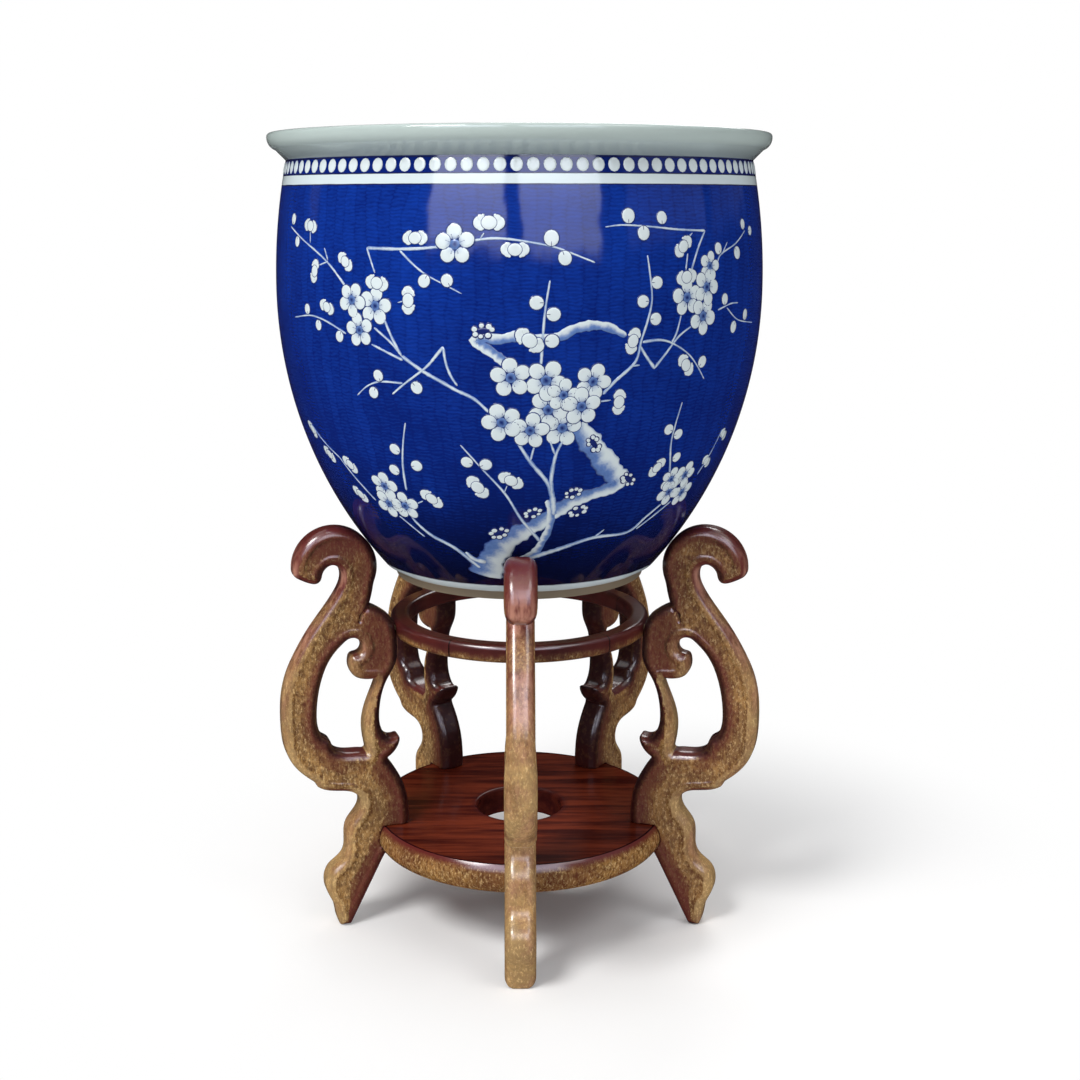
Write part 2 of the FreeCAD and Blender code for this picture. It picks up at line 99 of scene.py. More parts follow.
class Graph:
    """Adds nodes to one tree and joins them, so that a finish reads from top to bottom."""

    def __init__(self, tree: NodeTree) -> None:
        """Starts on a tree.

        Args:
            tree: the shader or geometry tree to build in.
        """
        self.tree = tree

    def add(self, kind: str, **settings: object) -> bpy.types.Node:
        """Adds a node.

        Args:
            kind: the node's type name.
            settings: properties to set on it.

        Returns:
            The node.
        """
        node = self.tree.nodes.new(kind)
        for name, value in settings.items():
            setattr(node, name, value)
        return node

    def feed(self, socket: Socket, value: object) -> None:
        """Links a socket to another, or sets its constant.

        Args:
            socket: the input.
            value: an output socket, a number or a tuple.
        """
        if isinstance(value, bpy.types.NodeSocket):
            self.tree.links.new(value, socket)
        elif isinstance(value, tuple) and len(value) == 3 and socket.type == "RGBA":
            socket.default_value = (*value, 1.0)
        else:
            socket.default_value = value

    def math(self, operation: str, *values: object, clamp: bool = False) -> Socket:
        """Adds a Math node.

        Args:
            operation: its operation.
            values: its inputs, in order.
            clamp: whether the result is held between 0 and 1.

        Returns:
            The result.
        """
        node = self.add("ShaderNodeMath", operation=operation, use_clamp=clamp)
        for socket, value in zip(node.inputs, values):
            self.feed(socket, value)
        return node.outputs[0]

    def rise(self, value: object, low: float, high: float) -> Socket:
        """A smooth step from 0 at low to 1 at high, or from 1 to 0 where high is the lower.

        Args:
            value: what is compared.
            low: where the step starts.
            high: where it ends.

        Returns:
            The step.
        """
        node = self.add("ShaderNodeMapRange", interpolation_type="SMOOTHSTEP")
        ends = (low, high, 0.0, 1.0) if low < high else (high, low, 1.0, 0.0)
        for socket, end in zip(list(node.inputs)[:5], (value, *ends)):
            self.feed(socket, end)
        return node.outputs[0]

    def mix(self, factor: object, first: object, second: object) -> Socket:
        """Mixes two colours.

        Args:
            factor: 0 for the first, 1 for the second.
            first: a colour.
            second: a colour.

        Returns:
            The mixed colour.
        """
        node = self.add("ShaderNodeMix", data_type="RGBA", clamp_factor=True)
        self.feed(node.inputs[0], factor)
        self.feed(node.inputs[6], first)
        self.feed(node.inputs[7], second)
        return node.outputs[2]

    def plus(self, *values: object, clamp: bool = False) -> Socket:
        """The sum of two values."""
        return self.math("ADD", *values, clamp=clamp)

    def minus(self, *values: object) -> Socket:
        """The first value less the second."""
        return self.math("SUBTRACT", *values)

    def times(self, first: object, *others: object) -> Socket:
        """The product of some values."""
        for other in others:
            first = self.math("MULTIPLY", first, other)
        return first

    def most(self, first: object, *others: object) -> Socket:
        """The greatest of some values."""
        for other in others:
            first = self.math("MAXIMUM", first, other)
        return first

    def share(self, value: object, amount: float, base: float) -> Socket:
        """A value scaled by an amount, over a base."""
        return self.plus(self.times(value, amount), base)

    def gap(self, value: object, middle: object) -> Socket:
        """How far a value is from a middle."""
        return self.math("ABSOLUTE", self.minus(value, middle))

    def from_axis(self, x: object, y: object) -> Socket:
        """How far a point is from the upright axis."""
        return self.math("SQRT", self.plus(self.times(x, x), self.times(y, y)))

    def angle(self, x: object, y: object) -> Socket:
        """A point's angle from the front, towards the right."""
        return self.math("ARCTAN2", x, self.times(y, -1.0))

    def place(self) -> Socket:
        """Where the shaded point is in its own object, which is the frame of the model."""
        return self.add("ShaderNodeTexCoord").outputs["Object"]

    def attribute(self, name: str) -> bpy.types.NodeOutputs:
        """The outputs of a named attribute of the mesh."""
        return self.add("ShaderNodeAttribute", attribute_name=name).outputs

    def noise(self, vector: object, mottle: Mottle) -> Socket:
        """Adds a noise texture.

        Args:
            vector: where it is read.
            mottle: its settings.

        Returns:
            A value around 0.5.
        """
        node = self.add("ShaderNodeTexNoise")
        self.feed(node.inputs["Vector"], vector)
        self.feed(node.inputs["Scale"], mottle.scale)
        self.feed(node.inputs["Detail"], mottle.detail)
        self.feed(node.inputs["Roughness"], mottle.roughness)
        return node.outputs[0]

    def sway(self, vector: object, mottle: Mottle) -> Socket:
        """A noise around 0, as strong as its settings' amount."""
        return self.times(self.minus(self.noise(vector, mottle), 0.5), mottle.amount)

    def bump(self, shader: bpy.types.Node, height: Socket, strength: float, depth: float) -> None:
        """Gives a shader a bumpy surface.

        Args:
            shader: the Principled BSDF.
            height: the bumps' height, from 0 to about 1.
            strength: how much of it shows.
            depth: how deep a height of 1 is, in metres.
        """
        node = self.add("ShaderNodeBump")
        node.inputs["Strength"].default_value = strength
        node.inputs["Distance"].default_value = depth
        self.feed(node.inputs["Height"], height)
        self.feed(shader.inputs["Normal"], node.outputs[0])

    def vector_math(self, operation: str, *values: object) -> Socket:
        """Adds a Vector Math node and gives its vector result.

        Args:
            operation: its operation.
            values: its inputs, in order.

        Returns:
            The result.
        """
        node = self.add("ShaderNodeVectorMath", operation=operation)
        for socket, value in zip(node.inputs, values):
            self.feed(socket, value)
        return node.outputs[0]

    def split(self, vector: object) -> tuple[Socket, Socket, Socket]:
        """Splits a vector.

        Args:
            vector: a vector.

        Returns:
            Its X, Y and Z.
        """
        node = self.add("ShaderNodeSeparateXYZ")
        self.feed(node.inputs[0], vector)
        return node.outputs[0], node.outputs[1], node.outputs[2]

    def join(self, x: object, y: object, z: object) -> Socket:
        """Joins three values.

        Args:
            x: the first.
            y: the second.
            z: the third.

        Returns:
            The vector.
        """
        node = self.add("ShaderNodeCombineXYZ")
        for socket, value in zip(node.inputs, (x, y, z)):
            self.feed(socket, value)
        return node.outputs[0]

    def group(self, tree: NodeTree, **values: object) -> bpy.types.Node:
        """Places a node group.

        Args:
            tree: the group.
            values: its inputs by name, with _ for a space.

        Returns:
            The group's node.
        """
        kind = "ShaderNodeGroup" if tree.bl_idname == "ShaderNodeTree" else "GeometryNodeGroup"
        node = self.add(kind, node_tree=tree)
        for name, value in values.items():
            self.feed(node.inputs[name.replace("_", " ")], value)
        return node


def new_group(name: str, inputs: dict[str, str],
              outputs: dict[str, str]) -> tuple[Graph, Socket, Socket]:
    """Starts a shader node group.

    Args:
        name: its name.
        inputs: socket type by input name.
        outputs: socket type by output name.

    Returns:
        The graph, the group's input node's outputs and its output node's inputs.
    """
    tree = bpy.data.node_groups.new(name, "ShaderNodeTree")
    for label, kind in inputs.items():
        tree.interface.new_socket(label, in_out="INPUT", socket_type=kind)
    for label, kind in outputs.items():
        tree.interface.new_socket(label, in_out="OUTPUT", socket_type=kind)
    graph = Graph(tree)
    return graph, graph.add("NodeGroupInput").outputs, graph.add("NodeGroupOutput").inputs


def new_material(name: str) -> tuple[Material, Graph, bpy.types.Node]:
    """Starts a material.

    Args:
        name: its name.

    Returns:
        The material, its graph and its Principled BSDF.
    """
    material = bpy.data.materials.new(name)
    material.use_nodes = True
    return material, Graph(material.node_tree), material.node_tree.nodes["Principled BSDF"]


def wear_group() -> NodeTree:
    """The patchy wear that lets the gilt ground show through the lacquer.

    Returns:
        A group with Vector and Scale in, and Patches and Flecks out.
    """
    graph, source, result = new_group(
        "lacquer_wear",
        {"Vector": "NodeSocketVector", "Scale": "NodeSocketFloat"},
        {"Patches": "NodeSocketFloat", "Flecks": "NodeSocketFloat"},
    )
    looks = (("Patches", 1.0, 3.0, 0.36, 0.64), ("Flecks", 6.0, 4.0, 0.52, 0.66))
    for output, finer, detail, low, high in looks:
        mottle = Mottle(graph.times(source["Scale"], finer), detail)
        graph.feed(result[output], graph.rise(graph.noise(source["Vector"], mottle), low, high))
    return graph.tree


def grain_group() -> NodeTree:
    """Wood grain that runs along the X axis of the vector it is given.

    Returns:
        A group with Vector in, and Streaks and Pores out.
    """
    graph, source, result = new_group(
        "wood_grain",
        {"Vector": "NodeSocketVector"},
        {"Streaks": "NodeSocketFloat", "Pores": "NodeSocketFloat"},
    )
    looks = (
        ("Streaks", 0.09, Mottle(85.0, 5.0, 0.62), 0.34, 0.68),
        ("Pores", 0.05, Mottle(900.0), 0.55, 0.72),
    )
    for output, length, mottle, low, high in looks:
        drawn_out = graph.vector_math("MULTIPLY", source["Vector"], (length, 1.0, 1.0))
        graph.feed(result[output], graph.rise(graph.noise(drawn_out, mottle), low, high))
    return graph.tree


# ---------------------------------------------------------------- view

@dataclass(frozen=True)
class Viewpoint:
    """The camera as fitted to the photograph, whose frame is 1080 pixels square."""

    frame_px: float = 1080.0
    focal_px: float = 1470.4
    centre_px: float = 519.4
    pitch: float = math.radians(13.03)
    turn: float = math.radians(0.3)
    distance: float = 1.4027
    height: float = 0.7009
    sensor: float = 36.0

    def place(self) -> Vector:
        """Where the camera stands."""
        across, back = math.sin(self.turn), math.cos(self.turn)
        return Vector((-self.distance * across, -self.distance * back, self.height))

    def direction(self, pixel: Pixel) -> Vector:
        """The direction in which a pixel of the photograph looks.

        Args:
            pixel: (x, y) from the top left.

        Returns:
            A direction in the frame of the model.
        """
        right = Vector((math.cos(self.turn), -math.sin(self.turn), 0))
        level = Vector((math.sin(self.turn), math.cos(self.turn), 0))
        ahead = level * math.cos(self.pitch) - Vector((0, 0, math.sin(self.pitch)))
        above = level * math.sin(self.pitch) + Vector((0, 0, math.cos(self.pitch)))
        across = (pixel[0] - self.centre_px) / self.focal_px
        upwards = (self.frame_px / 2 - pixel[1]) / self.focal_px
        return ahead + right * across + above * upwards

    def build(self) -> None:
        """Makes the scene's camera."""
        data = bpy.data.cameras.new("camera")
        data.sensor_width = self.sensor
        data.lens = self.focal_px / self.frame_px * self.sensor
        data.shift_x = (self.frame_px / 2 - self.centre_px) / self.frame_px
        data.clip_end = 50.0
        camera = bpy.data.objects.new("camera", data)
        bpy.context.scene.collection.objects.link(camera)
        camera.location = self.place()
        camera.rotation_euler = Euler((math.pi / 2 - self.pitch, 0, -self.turn))
        bpy.context.scene.camera = camera


# ---------------------------------------------------------------- the bowl's wall

@dataclass(frozen=True)
class BowlWall:
    """The outside of the bowl from its foot to its neck, as the model has it."""

    belly_radius: float = 0.226
    belly_height: float = 0.270
    body_arc: float = 0.399
    neck_radius: float = 0.2136
    neck_height: float = 0.3865
    foot: float = 0.34892
    steps: int = 800

    def radius_at(self, height: Array) -> Array:
        """The wall's radius.

        Args:
            height: heights above the floor.

        Returns:
            The radii there.
        """
        above_belly = np.asarray(height) - self.foot - self.belly_height
        drop = self.belly_radius - self.neck_radius
        rise = self.neck_height - self.belly_height
        shoulder_arc = (rise**2 + drop**2) / (2 * drop)
        arc = np.where(above_belly < 0, self.body_arc, shoulder_arc)
        return self.belly_radius - arc + np.sqrt(arc**2 - above_belly**2)

    def table(self) -> tuple[Array, Array]:
        """Heights up the wall, and how far each is from the foot along the wall.

        Returns:
            The heights and the distances.
        """
        heights = self.foot + np.linspace(0, self.neck_height, self.steps)
        radii = self.radius_at(heights)
        pieces = np.hypot(np.diff(heights), np.diff(radii))
        return heights, np.concatenate(([0.0], np.cumsum(pieces)))


@dataclass
class WallMap:
    """Lays flat places on the wall. A place is an angle from the front and a way up the wall."""

    wall: BowlWall
    view: Viewpoint
    search_reach: float = 0.30
    search_steps: int = 1200

    def __post_init__(self) -> None:
        """Keeps the wall's table of heights."""
        self.heights, self.ways = self.wall.table()

    def place_of(self, pixel: Pixel) -> Pair:
        """Where a pixel of the photograph falls on the wall.

        Args:
            pixel: (x, y) from the top left.

        Returns:
            The angle and the way up the wall.
        """
        start = self.view.place()
        direction = self.view.direction(pixel)
        level_run = direction.x**2 + direction.y**2
        nearest = -(start.x * direction.x + start.y * direction.y) / level_run
        reach = np.linspace(nearest - self.search_reach, nearest, self.search_steps)
        points = np.array(start)[None, :] + reach[:, None] * np.array(direction)[None, :]
        levels = np.clip(points[:, 2], *self.heights[[0, -1]])
        gap = np.hypot(points[:, 0], points[:, 1]) - self.wall.radius_at(levels)
        inside = np.nonzero(gap <= 0)[0]
        hit = points[inside[0] if len(inside) else int(np.argmin(gap))]
        return math.atan2(hit[0], -hit[1]), float(np.interp(hit[2], self.heights, self.ways))

    def point(self, angle: float, way: float, lift: float) -> Point:
        """A point on or just off the wall.

        Args:
            angle: from the front, towards the right.
            way: up the wall from the foot.
            lift: off the wall.

        Returns:
            The point.
        """
        height = np.interp(way, self.ways, self.heights)
        slope = self.wall.radius_at(height + MM) - self.wall.radius_at(height - MM)
        steep = math.hypot(slope, 2 * MM)
        radius = float(self.wall.radius_at(height)) + lift * 2 * MM / steep
        level = float(height - lift * slope / steep)
        return radius * math.sin(angle), -radius * math.cos(angle), level

    def radius(self, way: float) -> float:
        """The wall's radius at a way up it."""
        return float(self.wall.radius_at(np.interp(way, self.ways, self.heights)))


# ---------------------------------------------------------------- the sketch of the sprays

class Side(Enum):
    """The side of the bowl that a spray is painted on."""

    FRONT = 0
    BACK = 1


@dataclass(frozen=True)
class Flower:
    """An open five-petalled blossom."""

    at: Pixel
    size: float = 16.5
    turn: float = 90.0
    petals: int = 5
    petal_reach: float = 0.62
    eye: float = 0.26
    stamens: int = 8
    stamen_turn: float = 20.0
    stamen_start: float = 0.2


@dataclass(frozen=True)
class HalfBlossom:
    """A blossom half open, seen from its side. The turn points away from its stalk.

    A side lobe is how far across and along it is, and its half lengths, as shares of the size.
    """

    at: Pixel
    turn: float = 90.0
    size: float = 5.4
    front_lobe: Pair = (0.92, 1.06)
    side_lobes: tuple[tuple[float, ...], ...] = (
        (1.28, -0.02, 0.86, 0.80), (1.05, 0.62, 0.42, 0.5), (1.05, -0.62, 0.42, 0.5),
    )
    crest: Pair = (0.92, 0.78)
    crest_size: float = 0.2


@dataclass(frozen=True)
class Bud:
    """A round bud. The turn points to its stalk."""

    at: Pixel
    size: float = 5.6
    turn: float = -90.0
    roundness: Pair = (0.98, 0.92)
    notch_at: float = 0.66
    notch_length: float = 0.34


@dataclass(frozen=True)
class Twig:
    """A drawn branch through some pixels, with its widths at both ends."""

    through: tuple[Pixel, ...]
    start: float = 2.0
    end: float = 1.5
    pale: float = 0.13


@dataclass(frozen=True)
class Bough:
    """A thick shaded limb: white on one side, washed blue on the other."""

    through: tuple[Pixel, ...]
    widths: tuple[float, ...]
    shade_side: int = 1


@dataclass(frozen=True)
class Knot:
    """A dark knot in the bark, ringed with white moss."""

    at: Pixel
    turn: float = 0.0
    size: float = 5.5
    dabs: int = 7
    ring: Pair = (1.25, 0.72)
    eye: Pair = (0.95, 0.42)


LEFT_SPRAY = (
    Twig(((367, 248), (401, 249), (434, 247.3), (477, 240), (500, 238.4), (529, 242), (554, 247),
        (571, 253), (595, 262.5)), 2.9, 1.5),
    Twig(((367, 248), (375, 273)), 2.0, 1.5),
    Twig(((400, 250.6), (412.6, 263.8), (426, 274.6), (447, 286), (461.5, 293.7)), 2.0, 1.1),
    Twig(((291.5, 226.5), (300, 236.5), (315, 250), (326, 260.5), (334.6, 271), (346, 287)), 1.5,
        2.2),
    Twig(((324.7, 248), (328, 260)), 1.1, 1.8), Twig(((319.7, 265), (328, 261.5)), 1.4, 1.7),
    Twig(((310.6, 232), (310.6, 243)), 1.2, 1.4),
    Twig(((295.7, 317), (310, 315.3), (321.4, 318.6), (333, 325), (346, 333.5)), 1.3, 2.1),
    Twig(((384.4, 319.4), (392.7, 339.3), (401.8, 356)), 2.2, 2.8),
    Twig(((374.4, 327.7), (391, 342.6), (401, 355)), 2.0, 2.2),
    Twig(((372, 344.3), (387.7, 352.6), (402.6, 360)), 1.9, 2.6),
    Twig(((401.8, 356), (422.5, 371), (442.4, 382.4), (455.7, 390), (474, 399), (489, 412.3)), 3.3,
        2.8),
    Twig(((357.8, 395), (367.8, 385.7), (381, 381.6), (402.6, 383.3)), 1.3, 2.0),
    Twig(((392.7, 394), (404.3, 384), (425.8, 367.5), (435.8, 356), (443.3, 346.8)), 1.6, 3.0,
        0.08),
    Twig(((443.3, 347.6), (445.7, 362.5), (450.7, 375.8), (457.4, 385.7)), 2.6, 2.2),
    Twig(((398, 302.5), (404, 301)), 1.3, 1.3), Twig(((484, 233), (480, 239)), 1.5, 1.5),
    HalfBlossom((415, 238), 90), HalfBlossom((489, 222.6), 90, 6.2),
    HalfBlossom((515, 249.6), -90, 5.6), HalfBlossom((377, 283), 80, 5.6),
    HalfBlossom((408.3, 300.3), 0, 5.6), HalfBlossom((345.4, 261.6), 50, 4.8),
    HalfBlossom((315, 271), 165, 5.0), HalfBlossom((311, 226), 80, 5.0),
    HalfBlossom((327.2, 307), 70, 4.8), Flower((455, 244.3), 17.5, 92),
    Flower((352.3, 299.7), 15.5, 60), Flower((359.8, 330), 15.5, 100),
    Flower((375.2, 305.8), 17.0, 78), Bud((294.3, 219), 5.0), Bud((297.8, 241.5), 4.8, 90),
    Bud((307.8, 308.8), 4.8), Bud((319, 325), 4.8, 90), Bud((340, 336.3), 5.2, 60),
    Bud((424.2, 281), 5.8, 60), Bud((447, 280.6), 5.6, -60), Bud((378.6, 375.5), 5.4, -70),
    Bud((374, 392.4), 5.4, 60), Bud((416.7, 387.6), 5.8, 130), Bud((551.4, 238), 6.8),
    Bud((565, 258), 6.2, 110),
)

RIGHT_SPRAY = (
    Twig(((605.4, 227), (623, 225), (652, 226.8), (678.6, 229.5), (704.5, 230.6)), 1.2, 2.2),
    Twig(((704.5, 231), (698, 248), (691, 271.4)), 2.1, 1.9),
    Twig(((692, 233), (685.7, 240)), 1.4, 1.6), Twig(((687.5, 253.6), (685.7, 270)), 1.4, 1.7),
    Twig(((647.3, 255.4), (650, 275), (651.8, 300), (647.3, 321.4), (641, 341), (637.5, 357),
        (632, 366), (616, 380.4), (602.7, 394)), 1.6, 3.1),
    Twig(((632, 366), (639.3, 365)), 1.6, 2.2),
    Twig(((682, 310.7), (676.8, 332), (671.4, 343)), 1.7, 2.2),
    Twig(((692.9, 325), (678.6, 336.6), (664.3, 355.4), (654.5, 368)), 1.8, 2.5),
    Twig(((639.3, 344.6), (646, 356), (654.6, 368.5)), 2.0, 3.2, 0.1),
    Twig(((642.9, 342), (660.7, 340), (675, 344.6), (691, 357), (703.6, 378.6)), 2.6, 1.2),
    Twig(((717, 262.5), (721.4, 253.6), (735.7, 243), (744.6, 230.4)), 1.9, 1.2),
    Twig(((722, 254), (727, 242)), 1.3, 1.0),
    Twig(((717.9, 309.8), (730.4, 303.6), (737.5, 302.7)), 1.8, 1.2),
    Twig(((726.8, 308), (737.5, 319.6), (751.8, 322.3)), 1.5, 1.1),
    HalfBlossom((683, 246.4), 130, 5.4), HalfBlossom((685.7, 365), 45, 5.6),
    HalfBlossom((633, 341), 165, 5.4), HalfBlossom((686.6, 277), 100, 5.6),
    HalfBlossom((618.8, 402), 0, 5.4), Flower((709.5, 266), 13.5, 75),
    Flower((686.8, 297.3), 17.0, 95), Flower((706.3, 287), 16.5, 70),
    Flower((702.7, 316), 17.0, 60), Bud((628.2, 215.8), 6.4), Bud((661.6, 217.6), 5.6),
    Bud((643.4, 233), 6.2, 90), Bud((656.8, 282.5), 5.8, 180), Bud((642.9, 301.4), 5.8, 0),
    Bud((655.4, 318.9), 5.8, 180), Bud((717.9, 248.4), 5.4, -60), Bud((736.6, 252.7), 6.0, 130),
    Bud((742, 224.1), 4.8), Bud((749.5, 230.5), 4.6, 180), Bud((724.6, 299), 5.2),
    Bud((733, 326.8), 5.6, 60), Bud((744.6, 314.3), 5.2), Bud((701.8, 361.6), 5.6, 230),
)

TRUNK = (
    Bough(((492, 352), (481, 345), (474, 341), (484, 338.5), (500, 339.5), (517, 336.5),
        (535, 339.5), (559, 337), (575, 329), (594, 325.5), (610, 328), (626, 336)), (5.0, 8.5, 9.5,
        8.0, 8.5, 9.0, 8.0, 8.5, 8.5, 8.0, 7.5, 5.0), -1),
    Bough(((478, 344), (491, 352), (503, 361), (516, 372)), (7.0, 8.5, 8.0, 7.0), 1),
    Bough(((577, 425), (588, 440), (600, 456), (612, 472), (619, 482), (605, 490), (586, 496),
        (568, 504), (552, 514), (536, 525), (518, 534), (502, 546), (491, 560), (485, 576)),
        (15.0, 19.0, 21.0, 21.0, 17.0, 12.5, 12.5, 13.5, 14.5, 15.5, 18.0, 22.0, 26.0, 30.0), -1),
    Bough(((548, 500), (551, 512), (549, 528), (543, 540), (535, 552), (520, 559)), (6.0, 7.5, 7.0,
        7.0, 8.0, 5.0), 1),
    Twig(((460.5, 445), (482.3, 469), (505.3, 494), (521.4, 519.4), (539.7, 541)), 1.2, 3.4),
    Twig(((516.8, 441), (530.5, 462), (546.6, 481.5), (552.3, 496.4), (553.5, 514.8)), 2.6, 5.6,
        0.15),
    Twig(((535, 443.6), (530.5, 460)), 1.8, 2.2),
    Twig(((562.7, 441), (555.8, 455), (551.2, 478), (551.6, 492)), 2.2, 4.6, 0.15),
    Twig(((550, 441), (554.6, 454)), 1.8, 2.2),
    Twig(((528, 558.4), (558, 549.2), (592.5, 537.7), (627, 532), (645.3, 517), (661.4, 503.3)),
        5.2, 2.2),
    Twig(((636, 528.6), (656.8, 512.5), (670.6, 501)), 2.2, 1.6),
    Twig(((595, 536.4), (604, 529.5)), 2.4, 1.6),
    Twig(((480, 567.5), (454.8, 548), (431.8, 535.4), (415.8, 521.7), (411, 514.8)), 5.4, 2.0),
    Twig(((425, 536.6), (406.6, 521.7), (399.7, 516)), 2.0, 1.5),
    Twig(((541, 365), (544.6, 316), (550, 280.4)), 2.8, 1.6),
    Twig(((597.3, 401.8), (610.7, 400)), 1.6, 1.4),
    Twig(((405.4, 423), (403, 446), (403, 466.6), (406.6, 490)), 1.5, 2.6),
    Twig(((340, 457.4), (356, 478), (376, 500)), 1.5, 2.4),
    Twig(((682, 402.3), (675, 425.3), (670.6, 446), (669.4, 474)), 1.4, 2.6),
    Twig(((486, 562), (474, 559), (466, 552)), 7.0, 3.0, 0.04),
    Twig(((311.5, 424), (324, 441), (340, 457.4)), 1.2, 1.6),
    Twig(((697, 474), (709, 455), (722, 429)), 1.6, 1.0), HalfBlossom((330, 454), 50, 4.8),
    HalfBlossom((313, 429), 40, 4.6), HalfBlossom((706, 461), 60, 4.6),
    HalfBlossom((723, 434), 60, 4.4), Twig(((504, 493), (507, 486)), 1.3, 1.3),
    Twig(((423, 501), (416, 504)), 1.3, 1.3), Knot((483, 331), 4, 6.0),
    Knot((593.7, 443.6), -55, 5.6), Knot((628, 479), -40, 5.6), Knot((573, 493), 20, 5.2),
    Knot((578, 511), 22, 5.6), Knot((532.8, 513), 22, 5.2), Knot((499, 533), 25, 6.0),
    HalfBlossom((529.5, 340.5), 235, 6.4), HalfBlossom((431.8, 498.6), 50, 5.6),
    HalfBlossom((477.7, 487), 215, 6.0), HalfBlossom((511, 480.4), 60, 5.6),
    HalfBlossom((656.8, 467.3), 140, 5.0), HalfBlossom((350.3, 464.5), 50, 5.0),
    HalfBlossom((360.7, 494), 230, 5.0), Flower((592.9, 381.5), 16.5, 70),
    Flower((510.7, 377.8), 18.0, 95), Flower((546, 380.4), 18.5, 60),
    Flower((563.5, 395), 15.0, 80), Flower((581.3, 406.4), 17.5, 90),
    Flower((530, 430.5), 17.0, 80), Flower((501.8, 422.5), 18.0, 110),
    Flower((562.2, 428), 17.5, 85), Flower((548.2, 409.8), 18.0, 60),
    Flower((384.8, 486), 15.5, 80), Flower((405.4, 505.6), 15.5, 95),
    Flower((389.4, 503.3), 15.5, 60), Flower((684.4, 474.6), 14.5, 75),
    Flower((681, 492), 15.0, 100), Flower((670.6, 479), 13.0, 80), Flower((668.3, 491.5), 15.0, 60),
    Bud((536.6, 302.8), 6.2, 0), Bud((553.6, 314.4), 6.2, 180), Bud((552, 341), 6.2, 180),
    Bud((395, 449), 5.6, -30), Bud((394.6, 469.6), 5.6, -30), Bud((416.9, 465.6), 5.8, 190),
    Bud((467, 462), 5.6, -20), Bud((485.8, 464.4), 5.8, 200), Bud((668.7, 429.4), 5.4, -20),
    Bud((678, 434), 5.4, 190), Bud((676.3, 457), 5.2, 200),
)

SPRAYS = TRUNK + LEFT_SPRAY + RIGHT_SPRAY


# ---------------------------------------------------------------- mesh helpers

def new_object(name: str, vertices: Sequence[Sequence[float]], faces: Sequence[Sequence[int]],
               material: Material, smooth: bool = True) -> Object:
    """Makes a mesh object at the origin.

    Args:
        name: the piece's name.
        vertices: its points, in the frame of the model.
        faces: its faces, as indices that run anticlockwise from outside.
        material: its finish.
        smooth: whether it is shaded smooth.

    Returns:
        The object, linked to the scene.
    """
    mesh = bpy.data.meshes.new(name)
    mesh.from_pydata([tuple(point) for point in vertices], [], [tuple(face) for face in faces])
    mesh.update()
    mesh.polygons.foreach_set("use_smooth", [smooth] * len(mesh.polygons))
    mesh.materials.append(material)
    piece = bpy.data.objects.new(name, mesh)
    bpy.context.scene.collection.objects.link(piece)
    return piece


def settle(piece: Object, body: str) -> None:
    """Makes a piece ride with its body and logs its faces.

    Args:
        piece: the piece.
        body: the body it moves with.
    """
    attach(piece, body)
    LOG.info("%s: %d faces, rides on %s", piece.name, len(piece.data.polygons), body)


# ---------------------------------------------------------------- the painting

